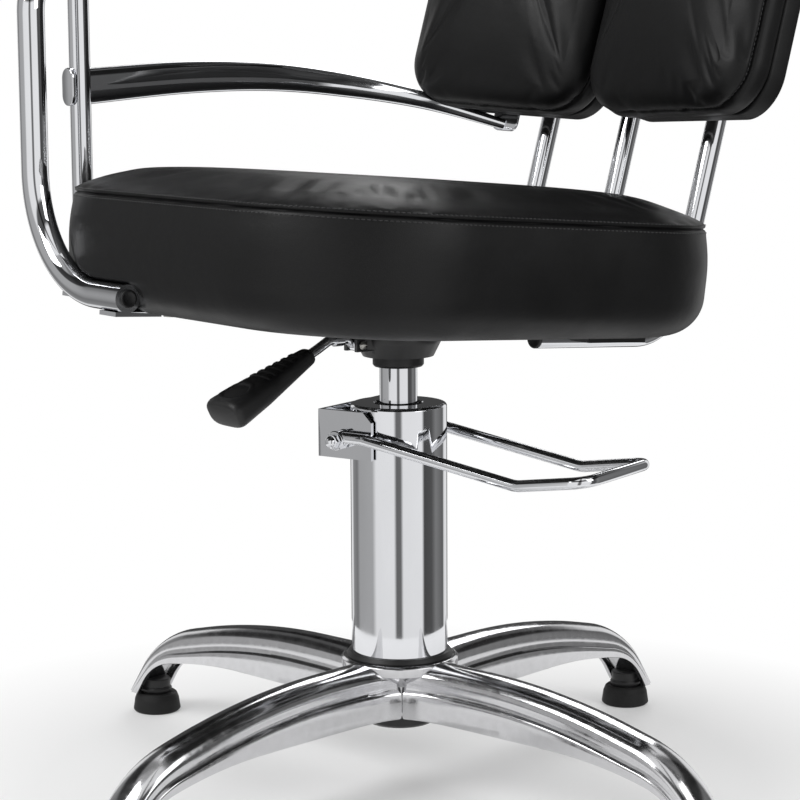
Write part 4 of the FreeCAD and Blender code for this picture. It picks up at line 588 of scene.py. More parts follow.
def finish(name):
    """The finish of a material slot, or the thread, made the first time that it is asked for."""
    if name not in _finished:
        _finished[name] = FINISHES[name]()
    return _finished[name]


# The base and the pump.


def leg_sections(s):
    """One cast leg along +X as sections across it, for the hub's height and the foot's reach.

    Crown, ledge, belly and hollow are four lines down the leg. Each point of a section is a mix
    of those four plus a half width: the crown rolls over by a quarter turn into the side, a ledge
    steps out below it, the skirt falls to the belly and the wall returns to the hollow above it.
    """
    reach, top = s.foot_reach, s.hub_top

    def line(corners, bends, count=72):
        corners = np.array(corners)
        flat = np.stack([corners[:, 0] * reach, corners[:, 0] * 0, corners[:, 1] * top], -1)
        path = rounded_path(flat, np.array(bends) * reach, 24)
        run = np.concatenate([[0], np.cumsum(np.linalg.norm(np.diff(path, axis=0), axis=1))])
        at = np.linspace(0, run[-1], count)
        return np.stack([np.interp(at, run, path[:, axis]) for axis in range(3)], -1)

    crown = line([(0.10, 1.0), (0.54, 1.0), (0.955, 0.71), (1.068, 0.175)], [2.0, 0.31])
    ledge = line([(0.10, 0.80), (0.54, 0.80), (0.93, 0.55), (1.040, 0.175)], [1.9, 0.23])
    belly = line([(0.10, 0.58), (0.72, 0.595), (0.945, 0.46), (1.01, 0.175)], [1.4, 0.17])
    hollow = line([(0.10, 0.86), (0.54, 0.86), (0.925, 0.58), (1.034, 0.185)], [1.9, 0.24])
    roll = np.linspace(0, np.pi / 2, 10)
    half = [(s.crown_half * np.sin(a), crown + (ledge - crown) * 0.62 * (1 - np.cos(a)))
            for a in roll]
    half += [(s.crown_half, crown + (ledge - crown) * share) for share in (0.75, 0.88)]
    step = s.skirt_half - s.crown_half
    half += [(s.crown_half + step * a, ledge + (belly - ledge) * b)
             for a, b in ((0.15, -0.03), (0.55, 0.01), (0.9, 0.08), (1.0, 0.16))]
    half += [(s.skirt_half, ledge + (belly - ledge) * share) for share in (0.4, 0.7, 0.94)]
    inner = s.skirt_half - s.skirt_wall
    half += [(s.skirt_half - s.skirt_wall * share, belly) for share in (0.3, 0.7)]
    half += [(inner, belly + (hollow - belly) * share) for share in (0.06, 0.3, 0.6, 0.85)]
    half += [(inner * share, hollow) for share in (0.92, 0.55, 0.0)]
    flare = 1 + 0.42 * np.exp(-np.clip(crown[:, 0] - 0.036, 0, None) / 0.022)
    right = [line_at + np.array([0, 1, 0]) * (w * flare)[:, None] for w, line_at in half]
    left = [line_at - np.array([0, 1, 0]) * (w * flare)[:, None] for w, line_at in half[-2:0:-1]]
    return np.stack(right + left, 1)


def base_casting():
    """Four hollow legs cast with a bored hub, ground and polished as one piece."""
    s = sizes()
    sections = leg_sections(s)
    hub_low, hub_top = 0.070, s.hub_top
    outline = [(0.0301, hub_low), (0.038, hub_low), (0.040, hub_low + 0.003),
               (0.040, hub_top - 0.022), (0.0545, hub_top - 0.010), (0.055, hub_top - 0.002),
               (0.0525, hub_top), (0.0301, hub_top)]
    shells = [lathe(softened(outline, 0.0012), 128, ring=True)]
    for quarter in range(4):
        turn = Matrix.Rotation(s.star_turn + quarter * np.pi / 2, 4, "Z")
        points, faces = surface(sections)
        shells.append((placed(points, turn), faces))
    piece("star_base_casting", "star_base", shells, 42)


def feet():
    """A rubber foot under each leg, a cone with rolled edges, and the black neck it turns on."""
    s = sizes()
    pad = softened([(0.001, 0.0), (0.0225, 0.0), (0.0245, 0.002), (0.0228, 0.0135),
                    (0.0208, 0.0185), (0.0188, 0.020), (0.001, 0.020)], 0.0012)
    neck = softened([(0.001, 0.0202), (0.0150, 0.0202), (0.0158, 0.024), (0.0140, 0.0265),
                     (0.0144, 0.0345), (0.001, 0.0345)], 0.0009)
    pads, necks = [], []
    for quarter in range(4):
        at = s.star_turn + quarter * np.pi / 2
        where = Matrix.Translation((s.foot_reach * np.cos(at), s.foot_reach * np.sin(at), 0))
        pads.append(lathe(pad, 64, place=where))
        necks.append(lathe(neck, 48, place=where))
    piece("foot_rubbers", "foot_glides", pads, 38)
    piece("foot_necks", "foot_stems", necks, 38)


def turned_ring(name, node, outline, bend):
    """A turned ring from a closed (radius, height) outline with its corners eased."""
    piece(name, node, [lathe(softened(outline, bend), 128, ring=True)])


def pump_column():
    """The chromed cover with a rolled top edge, its seal ring, the piston and the black collar."""
    s = sizes()
    r, wall, top = s.cover_radius, 0.002, high("pump_cover")[2]
    mouth = s.piston_radius + 0.005
    edge = 0.0035
    turn = np.linspace(0, np.pi / 2, 10)
    rim = [(r - edge + edge * np.cos(a), top - edge + edge * np.sin(a)) for a in turn]
    outline = [(r - wall, s.hub_top + 0.001), (r - wall / 2, s.hub_top), (r, s.hub_top + 0.001),
               *rim, (mouth + 0.0012, top), (mouth, top - 0.0012), (mouth, top - 0.004),
               (r - wall, top - 0.004)]
    piece("pump_cover_shell", "pump_cover", [lathe(outline, 144, ring=True)], 40)
    ring_low, ring_high = low("base_ring")[2], high("base_ring")[2]
    turned_ring("base_seal_ring", "base_ring",
                [(r + 0.0001, ring_low), (0.0492, ring_low), (0.050, ring_low + 0.0014),
                 (r + 0.0028, ring_high), (r + 0.0001, ring_high)], 0.0005)
    lock_low, lock_high = low("pump_lock_ring")[2], high("pump_lock_ring")[2]
    turned_ring("pump_lock_nut", "pump_lock_ring",
                [(0.0302, lock_low), (0.0315, lock_low), (0.034, lock_low + 0.0025),
                 (0.034, lock_high), (0.0302, lock_high)], 0.0006)
    guide_low, guide_high = low("piston_guide")[2], high("piston_guide")[2]
    gap = s.piston_radius + 0.0002
    turned_ring("piston_wiper", "piston_guide",
                [(gap, guide_low), (0.036, guide_low), (0.036, top - 0.0042),
                 (mouth - 0.0004, top - 0.0042), (mouth - 0.0004, guide_high),
                 (gap + 0.0012, guide_high), (gap, top - 0.004)], 0.0003)
    rod_low, rod_high = low("piston")[2], high("piston")[2]
    rod = [(0.001, rod_low), (s.piston_radius, rod_low), (s.piston_radius, rod_high - 0.002),
           (s.piston_radius - 0.002, rod_high), (0.001, rod_high)]
    piece("piston_rod", "piston", [lathe(rod, 96)], 38)
    collar_low, collar_high = low("piston_collar")[2], high("piston_collar")[2]
    turned_ring("piston_collar_ring", "piston_collar",
                [(gap, collar_low), (0.0222, collar_low), (0.0238, collar_low + 0.002),
                 (0.0238, collar_high - 0.0012), (0.0228, collar_high), (gap, collar_high)],
                0.0007)
    smooth_copies("pump_cylinder", "piston_head")


# The pedal and the lever.


def hexagon_nut(across, height):
    """A hexagonal nut with a domed end, its base on the plane z = 0.

    The radius at angle t is the hexagon's, across / cos(t mod 60 degrees - 30), then a dome.
    """
    sides = 72
    t = np.linspace(0, TURN, sides, endpoint=False)
    flat = across / 2 / np.cos(np.mod(t, np.pi / 3) - np.pi / 6)
    rows = [(np.full(sides, 0.0005), 0.0), (flat * 0.97, 0.0), (flat, 0.0004),
            (flat, height * 0.50), (np.minimum(flat, across / 2 * 1.01), height * 0.58)]
    for a in np.linspace(0, np.pi / 2, 9)[:-1]:
        dome = np.full(sides, across * 0.43 * np.cos(a))
        rows.append((dome, height * (0.60 + 0.40 * np.sin(a))))
    rings = [np.stack([r * np.cos(t), r * np.sin(t), np.full(sides, z)], -1) for r, z in rows]
    return surface(np.stack(rings))


def pedal_frame():
    """The pedal's frame: the bracket's turn round the column."""
    return Matrix.Rotation(np.radians(18), 4, "Z")


def pedal():
    """A chromed rod bent into a loop: two arms from the pivots, a kink down and a cross tread."""
    s = sizes()
    rod, half, pivot_back, pivot_up = s.pedal_rod, 0.058, 0.028, 0.330
    up, kink = pivot_up + rod / 2, pivot_up - 0.024
    tread = kink + 0.010
    start, knee, front = -pivot_back + 0.009, 0.162, 0.232
    side = np.array([(start, half, up), (0.0, half, up), (knee, half, kink), (front, half, tread)])
    other = side[::-1] * (1, -1, 1)
    bends = [rod * 4, rod * 6, rod * 3, rod * 3, rod * 6, rod * 4]
    path = rounded_path(np.concatenate([side, other]), bends, 16)
    shells = [tube(path, rod, 40)]
    for sign in (-1, 1):
        eye = softened([(0.0042, -rod), (0.0082, -rod), (0.009, -rod + 0.0008),
                        (0.009, rod - 0.0008), (0.0082, rod), (0.0042, rod)], 0.0003)
        turn = (Matrix.Translation((-pivot_back, sign * half, pivot_up))
                @ Matrix.Rotation(np.pi / 2, 4, "X"))
        shells.append(lathe(eye, 56, ring=True, place=turn))
        link = np.array([(-pivot_back + 0.0055, sign * half, pivot_up + 0.001),
                         (start - 0.0005, sign * half, up), (0.004, sign * half, up)])
        shells.append(surface(swept(link, [0.0042, 0.0050, rod], [0.0062, 0.0056, rod], 40)))
    frame_turn = pedal_frame()
    shells = [(placed(points, frame_turn), faces) for points, faces in shells]
    piece("pedal_loop", "pedal_bar", shells, 45)
    nuts = []
    for sign in (-1, 1):
        outside = sign * (half + rod + 0.0003)
        turn = (frame_turn @ Matrix.Translation((-pivot_back, outside, pivot_up))
                @ Matrix.Rotation(-sign * np.pi / 2, 4, "X"))
        points, faces = hexagon_nut(0.0125, 0.0105)
        nuts.append((placed(points, turn), faces))
    piece("pedal_nuts", "pedal_cap_nuts", nuts, 30)
    smooth_copies("pedal_bracket", "pedal_pivots")


def lever_route():
    """The lever's centre line: places in shares of its pin's distance in front of the axis."""
    pin_front, pin_up = 0.049, 0.418
    shares = np.array([(1.0, 0.0), (1.22, 0.12), (1.62, 0.12), (1.88, -0.02), (2.5, -0.32)])
    forward, upward = shares.T
    return np.stack([forward * 0, -pin_front * forward, pin_up + pin_front * upward], -1)


def lever():
    """A chromed rod with an eye on its pin, cranked down to the ribbed grip."""
    rod = sizes().lever_rod
    route = lever_route()
    shells = [tube(rounded_path(route, [rod * 2] * 3, 12), rod, 36, (1.0, 0.1, 0.0))]
    eye = softened([(0.0026, -0.0056), (0.0054, -0.0056), (0.006, -0.005), (0.006, 0.005),
                    (0.0054, 0.0056), (0.0026, 0.0056)], 0.0003)
    turn = Matrix.Translation(route[0]) @ Matrix.Rotation(np.pi / 2, 4, "Y")
    shells.append(lathe(eye, 48, ring=True, place=turn))
    piece("lever_crank", "lever_rod", shells, 45)
    smooth_copies("lever_sleeve", "lever_pin")


def lever_grip():
    """A moulded paddle: its section grows from the rod to a broad round end.

    Each section is a rounded rectangle, half width w and half depth d, with the powers of the
    cosine and sine that square its corners. On the upper face six cross ribs stand on the narrow
    half, and a raised pad with a sunk oval lies on the broad end.
    """
    route = lever_route()
    along = unit(route[4] - route[3])
    over = np.array([0.0, -along[2], along[1]])
    over = over if over[2] > 0 else -over
    side = np.cross(over, along)
    start = route[3] + along * sizes().lever_rod * 2
    length_all, wide, deep = 0.106, 0.051, 0.028
    t = np.linspace(0, TURN, 96, endpoint=False)
    u = np.linspace(0, 1, 150)[:, None]
    half_w = wide / 2 * np.interp(u, [0.0, 0.08, 0.62, 0.9, 1.0], [0.30, 0.36, 0.82, 0.97, 1.0])
    half_d = deep / 2 * np.interp(u, [0.0, 0.08, 0.62, 1.0], [0.50, 0.56, 0.86, 1.0])
    ends = 0.0045 / length_all
    near = np.sqrt(1 - np.clip(1 - u / ends, 0, 1) ** 2)
    far = np.sqrt(1 - np.clip(1 - (1 - u) / (ends * 1.7), 0, 1) ** 2)
    half_w = half_w * (0.70 + 0.30 * near) * (0.86 + 0.14 * far)
    half_d = half_d * (0.60 + 0.40 * near) * (0.68 + 0.32 * far)
    c, n = np.cos(t), np.sin(t)
    x = half_w * np.sign(c) * np.abs(c) ** 0.55
    z = half_d * np.sign(n) * np.abs(n) ** 0.70
    upper = np.clip(n, 0, 1) ** 0.35 * (np.abs(x) < half_w * 0.80)
    beat = np.mod((u - 0.13) / 0.075, 1.0)
    ribbed = (u > 0.13) & (u < 0.13 + 6 * 0.075)
    rib = np.where(ribbed, np.clip(np.sin(beat * TURN) * 2.2, -0.25, 1.0), 0.0)
    centre, long_half = 0.795, 0.150
    oval = np.sqrt(((u - centre) / long_half) ** 2 + (x / (wide * 0.36)) ** 2)
    pad = np.where(oval < 1, 0.7 - 1.7 * (oval < 0.78), 0.0)
    z = z + upper * (rib * 0.0009 + pad * 0.0008)
    grid = (start + along * (u * length_all)[..., None] + side * x[..., None]
            + over * z[..., None])
    piece("lever_grip_moulding", "lever_grip", [surface(grid)], 60)


# The arm frame.


# The front arm tube: its distance to the side below, and the bend of its curl under the seat.
ARM_TUBE_SIDE = -0.200
ARM_TUBE_CURL = 0.105


def arm_frame():
    """The front tube that curls under the seat, the post behind it and their end plugs."""
    s = sizes()
    r = s.arm_tube_radius
    lowest, highest = low("arm_tube_front"), high("arm_tube_front")
    front, level, top = lowest[1] + r, lowest[2] + r, highest[2] - r
    outside, inside, splay = lowest[0] + r, ARM_TUBE_SIDE, -0.205
    route = [(highest[0], front, level), (inside, front, level), (inside, front, top),
             (outside, splay, top), (outside, highest[1], top)]
    path = rounded_path(route, [ARM_TUBE_CURL, 0.035, 0.035], 36)
    piece("arm_tube", "arm_tube_front", [tube(path, r, 64)])
    plugs = []
    for at, into in ((np.array(route[0]), (-1, 0, 0)), (np.array(route[-1]), (0, -1, 0))):
        plugs.append(end_plug(at, np.array(into, float), r * 0.66))
    piece("arm_tube_caps", "arm_tube_plugs", plugs)
    post_low, post_high = low("arm_post"), high("arm_post")
    middle = (post_low + post_high) / 2
    post = [(middle[0], middle[1], post_low[2]), (middle[0], middle[1], post_high[2])]
    piece("arm_post_tube", "arm_post", [tube(np.array(post), s.post_radius, 64, (0, 1, 0))])


def end_plug(at, into, radius):
    """A closed tube's end plug: a rim with a rolled edge and a slightly sunk face."""
    turn = np.linspace(0, np.pi / 2, 7)
    rim = 0.0025
    outline = [(0.0005, 0.008), (radius - 0.0018, 0.008), (radius - 0.0018, 0.0), (radius, 0.0)]
    outline += [(radius - 0.0012 + 0.0012 * np.cos(a), -rim + 0.0012 - 0.0012 * np.sin(a))
                for a in turn]
    outline += [(radius * 0.72, -rim), (radius * 0.62, -rim + 0.0006), (0.0005, -rim + 0.0006)]
    axis = Vector(into).to_track_quat("Z", "Y").to_matrix().to_4x4()
    return lathe(outline, 56, place=Matrix.Translation(at) @ axis)


# The backrest's foot behind the seat, the turn of its halves towards each other in degrees, and
# how far a half's inner edge lies beside and in front of the middle tube's axis.
BACK_PLACE = (0, 0.292, 0.612)
BACK_WRAP = 8
HALF_BESIDE, HALF_BEFORE = 0.010, 0.0131


def back_frame():
    """The backrest's frame: at its foot behind the seat, leaning back."""
    return Matrix.Translation(BACK_PLACE) @ Matrix.Rotation(-sizes().back_lean, 4, "X")


def half_frame(side):
    """A backrest half's frame: x across, y up the lean and z towards the sitter."""
    wrap = Matrix.Rotation(-side * np.radians(BACK_WRAP), 4, "Z")
    hinge = Matrix.Translation((side * HALF_BESIDE, -HALF_BEFORE, 0)) @ wrap
    return back_frame() @ hinge @ Matrix.Rotation(np.pi / 2, 4, "X")


def arm_rail():
    """The arched rail: an oval that is tall in front and flattens to a tab behind the backrest.

    Its centre line is a smooth curve through six places, and its half height falls along it.
    """
    post = (low("arm_post") + high("arm_post")) / 2
    side, level = post[0], 0.650
    end = np.array(half_frame(-1) @ Vector((-0.141, -0.016, -0.0018)))
    places = [(side, post[1] + 0.004, level), (side - 0.006, -0.060, level + 0.007),
              (side - 0.005, 0.040, level + 0.006), (side + 0.005, 0.130, level - 0.004),
              (side + 0.035, 0.205, level - 0.020), end]
    path = spline(places, 110)
    share = np.linspace(0, 1, len(path))
    tall = 0.017 * np.interp(share, np.linspace(0, 1, 8),
                             [1.0, 0.95, 0.88, 0.80, 0.72, 0.60, 0.46, 0.30])
    wide = 0.007 * np.interp(share, [0, 0.8, 1.0], [1.0, 0.95, 0.40])
    rail = surface(swept(path, wide, tall, 64))
    tab_place = half_frame(-1)
    outline = rounded_outline(0.0165, 0.030, 0.008, 10, 4) + [-0.141, 0.008]
    tab = slab_piece(outline, -0.0033, -0.0003, 0.0006, tab_place)
    piece("arm_rail_bar", "arm_rail", [rail, tab])
    oval = rounded_outline(0.0098, 0.0178, 0.0097, 16, 4)
    front = post[1] - sizes().post_radius - 0.0002
    turn = Matrix.Translation((side, front, level)) @ Matrix.Rotation(np.pi / 2, 4, "X")
    piece("arm_rail_button", "arm_rail_cap", [slab_piece(oval, 0.0, 0.004, 0.0011, turn)])


def slab_piece(outline, near, far, edge, place):
    """A flat plate between two levels, with both rims rolled by a small edge radius.

    Each rim row is the outline drawn in by edge * (1 - cos a) at a height of edge * (1 - sin a).
    """
    centre = (outline.max(0) + outline.min(0)) / 2
    reach = (outline.max(0) - outline.min(0)) / 2
    turn = np.linspace(0, np.pi / 2, 5)
    rows = []
    for a in turn[::-1]:
        rows.append((edge * (1 - np.cos(a)), near + edge * (1 - np.sin(a))))
    for a in turn:
        rows.append((edge * (1 - np.cos(a)), far - edge * (1 - np.sin(a))))
    grid = []
    for inset, height in rows:
        scaled = centre + (outline - centre) * (1 - inset / reach)
        grid.append(np.concatenate([scaled, np.full((len(outline), 1), height)], 1))
    points, faces = surface(np.array(grid))
    return placed(points, place), faces


# The padded pieces: covers sewn over foam.


# The middle of the seat's underside.
SEAT_PLACE = (0, -0.018, 0.444)


def seat_frame():
    """The seat's frame: on its underside at the middle, leaning back."""
    return Matrix.Translation(SEAT_PLACE) @ Matrix.Rotation(-sizes().seat_tilt, 4, "X")


def cushion_rows(half_x, half_y, corner, rows, per_arc=26, per_side=20):
    """A cushion's form as closed rows round it: (inset, scale, height) for each row.

    A row is the round cornered outline drawn in by its inset, with its corner's radius less the
    inset, then scaled about the middle and set at its height.
    """
    grid = []
    for inset, scale, height in rows:
        bend = max(corner - inset, corner * 0.3)
        outline = rounded_outline(half_x - inset, half_y - inset, bend, per_arc, per_side) * scale
        grid.append(np.concatenate([outline, np.full((len(outline), 1), height)], 1))
    return np.array(grid)


def rolled(inset, height, radius, start, end, count):
    """Rows round an edge: inset + radius * (1 - sin a) and height - radius * cos a."""
    turn = np.radians(np.linspace(start, end, count))
    return [(inset + radius * (1 - np.sin(a)), 1.0, height - radius * np.cos(a)) for a in turn]


def crown(inset, low_height, rise, power, count):
    """Rows to the middle of a crowned top: height + rise * (1 - scale ** power)."""
    scales = np.cos(np.linspace(0, np.pi / 2, count + 1))[1:-1]
    scales = np.append(scales, 0.012)
    return [(inset, scale, low_height + rise * (1 - scale ** power)) for scale in scales]


def puckered(grid, seam_row, depth, reach, seed):
    """A cushion's rows with small gathers that fade away from the seam.

    Each point moves out by depth * exp(-(rows from the seam / reach) ** 2) times a sum of sines
    round the cushion with seeded phases.
    """
    rng = np.random.default_rng(seed)
    rows, columns = grid.shape[:2]
    around = np.linspace(0, TURN, columns, endpoint=False)
    waves = np.zeros(columns)
    for count in (17, 23, 31, 44, 58):
        waves += np.sin(count * around + rng.uniform(0, TURN)) / 5 ** 0.5
    long_waves = sum(np.sin(count * around + rng.uniform(0, TURN)) for count in (3, 5))
    fade = np.exp(-((np.arange(rows) - seam_row) / reach) ** 2)[:, None]
    fade[seam_row] = 0
    middle = grid.mean((0, 1))
    out = grid - middle
    out[..., 2] *= 0.6
    flat = np.clip(np.linalg.norm((grid - middle)[..., :2], axis=-1) / 0.02, 0, 1)
    wide_fade = np.exp(-((np.arange(rows) - seam_row) / 9) ** 2)[:, None]
    push = fade * waves[None] * depth + wide_fade * long_waves[None] * depth * 0.5
    return grid + unit(out) * (push * flat)[..., None]


def seam_path(grid, row, pitch):
    """A row's closed line, with points a stitch's pitch apart."""
    line = np.concatenate([grid[row], grid[row][:1]])
    run = np.concatenate([[0], np.cumsum(np.linalg.norm(np.diff(line, axis=0), axis=1))])
    count = int(round(run[-1] / pitch))
    at = np.linspace(0, run[-1], count, endpoint=False)
    return np.stack([np.interp(at, run, line[:, axis]) for axis in range(3)], -1)


# A stitch's half thickness, and how far it stands off the cover's surface.
THREAD_RADIUS = 0.00048
THREAD_PROUD = 0.0001


def stitches(path, outward, radius, share=0.74):
    """One closed shell of many stitches: a small lozenge lies along the path at each point.

    A lozenge's point is centre + along * half * cos(v) + (side, outward) * radius * sin(v).
    """
    along = unit(np.roll(path, -1, 0) - np.roll(path, 1, 0))
    half = np.linalg.norm(path[1] - path[0]) * share / 2
    side = unit(np.cross(along, outward))
    v = np.radians([8, 40, 90, 140, 172])
    w = np.linspace(0, TURN, 6, endpoint=False)
    length_part = (half * np.cos(v))[None, :, None, None] * along[:, None, None]
    round_part = (radius * np.sin(v))[None, :, None, None] * (
        np.cos(w)[None, None, :, None] * side[:, None, None]
        + np.sin(w)[None, None, :, None] * outward[:, None, None])
    grid = path[:, None, None] + length_part + round_part
    points, faces = surface(grid[0])
    step = len(points)
    every = [[vertex + step * n for vertex in face] for n in range(len(path)) for face in faces]
    return grid.reshape(-1, 3), every


def pressed_out(made, pinned, cap, pressure=4.0, frames=18):
    """Air pressure fills a cushion's cover as cloth, with its sewn and lower points held.

    No point moves by more than the cap. The modifier is gone afterwards.
    """
    mesh = made.data
    count = len(mesh.vertices)
    start = np.empty(count * 3)
    mesh.vertices.foreach_get("co", start)
    start = start.reshape(-1, 3)
    group = made.vertex_groups.new(name="sewn")
    group.add(pinned, 1.0, "REPLACE")
    cloth = made.modifiers.new("air", "CLOTH")
    cloth.settings.quality = 6
    cloth.settings.mass = 0.35
    cloth.settings.tension_stiffness = 28
    cloth.settings.compression_stiffness = 28
    cloth.settings.shear_stiffness = 12
    cloth.settings.bending_stiffness = 5.0
    cloth.settings.use_pressure = True
    cloth.settings.uniform_pressure_force = pressure
    cloth.settings.vertex_group_mass = group.name
    cloth.settings.effector_weights.gravity = 0
    cloth.point_cache.frame_start = 1
    cloth.point_cache.frame_end = frames
    scene = bpy.context.scene
    for at in range(1, frames + 1):
        scene.frame_set(at)
    blown = made.evaluated_get(bpy.context.evaluated_depsgraph_get()).data
    end = np.empty(count * 3)
    blown.vertices.foreach_get("co", end)
    move = end.reshape(-1, 3) - start
    reach = np.linalg.norm(move, axis=1, keepdims=True)
    move *= np.minimum(1.0, cap / np.maximum(reach, 1e-9))
    made.modifiers.remove(cloth)
    made.vertex_groups.remove(group)
    scene.frame_set(1)
    if not np.isfinite(move).all():
        raise RuntimeError("the cover of %s did not settle" % made.name)
    mesh.vertices.foreach_set("co", (start + move).ravel())
    mesh.update()


def cushion(name, node, grid, place, held_rows, cap):
    """A cushion from its rows, blown out a little between its held rows and subdivided once."""
    points, faces = surface(grid)
    made = piece(name, node, [(placed(points, place), faces)], 75)
    columns = grid.shape[1]
    pinned = np.concatenate([np.arange(row * columns, (row + 1) * columns) for row in held_rows])
    pressed_out(made, pinned.tolist(), cap)
    smoother = made.modifiers.new("smoother", "SUBSURF")
    smoother.levels = smoother.render_levels = 1
    smoother.use_limit_surface = False


def thread_piece(name, node, lines, place):
    """The thread of a cushion's seams: stitches along each line, tipped up by the line's lift."""
    shells = []
    for path, lift in lines:
        outward = outwards(path, lift)
        points, faces = stitches(path + outward * THREAD_PROUD, outward, THREAD_RADIUS)
        shells.append((placed(points, place), faces))
    piece(name, node, shells, 80, "thread")


def outwards(path, lift):
    """Directions square to a closed level line: away from its middle, tipped up by lift."""
    along = unit(np.roll(path, -1, 0) - np.roll(path, 1, 0))
    flat = np.stack([along[:, 1], -along[:, 0], np.full(len(path), lift)], -1)
    return unit(flat)


def seat_cushion():
    """The seat: a wall that rolls in under the board and a crowned top sewn to it.

    Its rows follow (inset, height): under the board's pocket, round the lower edge, up the
    bulging wall, into the seam's groove, over the topstitched lip and up the crown.
    """
    s = sizes()
    half, seam = s.seat_width / 2, s.seat_seam
    pocket, board_top = 0.0447, 0.0124
    rows = [(pocket, scale, board_top) for scale in (0.012, 0.25, 0.5, 0.75, 0.93)]
    rows += [(pocket, 1.0, board_top), (pocket, 1.0, board_top - 0.0008), (pocket, 1.0, 0.006),
             (pocket, 1.0, 0.0012), (pocket - 0.0006, 1.0, -s.seat_lip * 0.7),
             (pocket - 0.003, 1.0, -s.seat_lip * 0.95)]
    rows += rolled(0.0, 0.036 - s.seat_lip, 0.036, 4, 90, 12)
    wall_up = np.linspace(0.0, 1.0, 9)[1:]
    rows += [(-0.0012 * np.sin(np.pi * share) + 0.0022 * share ** 3, 1.0,
              0.034 + (seam - 0.006 - 0.034) * share) for share in wall_up]
    rows += [(0.0026, 1.0, seam - 0.0032), (0.0034, 1.0, seam - 0.0016)]
    wall_lip = len(rows) - 2
    rows += [(0.0046, 1.0, seam - 0.0006)]
    seam_row = len(rows)
    rows += [(0.0058, 1.0, seam + 0.0001), (0.0046, 1.0, seam + 0.0008),
             (0.0035, 1.0, seam + 0.0020), (0.0036, 1.0, seam + 0.0038)]
    top_lip = len(rows) - 1
    rows += [(0.0050, 1.0, seam + 0.0066), (0.0080, 1.0, seam + 0.0094),
             (0.0130, 1.0, seam + 0.0120), (0.0200, 1.0, seam + 0.0145),
             (0.0285, 1.0, seam + 0.0168)]
    edge = seam + 0.0168
    rows += crown(0.0285, edge, s.seat_thick - edge, 5.0, 16)
    grid = cushion_rows(half, half, s.seat_corner, rows, 34, 24)
    front = 0.5 - grid[..., 1] / (2 * half)
    grid[..., 2] += s.seat_rise * front * np.clip(grid[..., 2] / seam, 0, 1)
    grid = puckered(grid, seam_row, 0.0006, 3.0, 11)
    lip_path = seam_path(grid, top_lip, s.stitch_pitch)
    wall_path = seam_path(grid, wall_lip, s.stitch_pitch)
    held = list(range(0, 12)) + list(range(wall_lip, top_lip + 1))
    cushion("seat_cushion_cover", "seat_cushion", clear_of_tubes(grid), seat_frame(), held,
            0.0030)
    thread_piece("seat_seam_thread", "seat_cushion", [(lip_path, 0.2), (wall_path, 0.0)],
                 seat_frame())


def clear_of_tubes(grid):
    """The seat's points pushed out of the way of the arm tube and the three back tubes."""
    s = sizes()
    r = s.arm_tube_radius
    lowest, highest = low("arm_tube_front"), high("arm_tube_front")
    front, level, top = lowest[1] + r, lowest[2] + r, highest[2] - r
    side = ARM_TUBE_SIDE
    route = [(highest[0] + 0.003, front, level), (side, front, level), (side, front, top)]
    grid = dented(grid, rounded_path(route, [ARM_TUBE_CURL], 60), r)
    for x in BACK_TUBE_PLACES:
        grid = dented(grid, rounded_path(back_route(x), [BACK_TUBE_BEND], 20), s.back_tube_radius)
    return grid


def dented(grid, line, r):
    """The seat's points pushed clear of one tube: a soft dent along its centre line.

    A point nearer to the line than the tube's radius plus the cover's clearance moves straight
    away from that line to this distance, and one just past it a little less.
    """
    line = placed(without_repeats(line), seat_frame().inverted())
    points = grid.reshape(-1, 3)
    ends_a, runs = line[:-1], np.diff(line, axis=0)
    share = ((points[:, None] - ends_a) * runs).sum(-1) / (runs ** 2).sum(-1)
    nearest = ends_a + runs * np.clip(share, 0, 1)[..., None]
    gaps = np.linalg.norm(points[:, None] - nearest, axis=-1)
    best = gaps.argmin(1)
    rows = np.arange(len(points))
    gap, foot = gaps[rows, best], nearest[rows, best]
    clear = r + 0.0014
    near = gap < clear * 1.5
    wanted = clear + np.clip(gap - clear * 0.6, 0, None) * 0.5
    middle = np.array([0.0, 0.0, 0.05])
    away = points - foot
    inward = unit(middle - foot)
    deep = (away * inward).sum(-1, keepdims=True) < 0
    away = np.where(deep, away - 2 * (away * inward).sum(-1, keepdims=True) * inward, away)
    moved = foot + unit(away) * wanted[:, None]
    return np.where(near[:, None], moved, points).reshape(grid.shape)


# The backrest's two halves: half the width of one, and their names by the sign of their side.
BACK_HALF_WIDTH = (0.246 - 0.010) / 2
SIDE_NAMES = {-1: "right", 1: "left"}


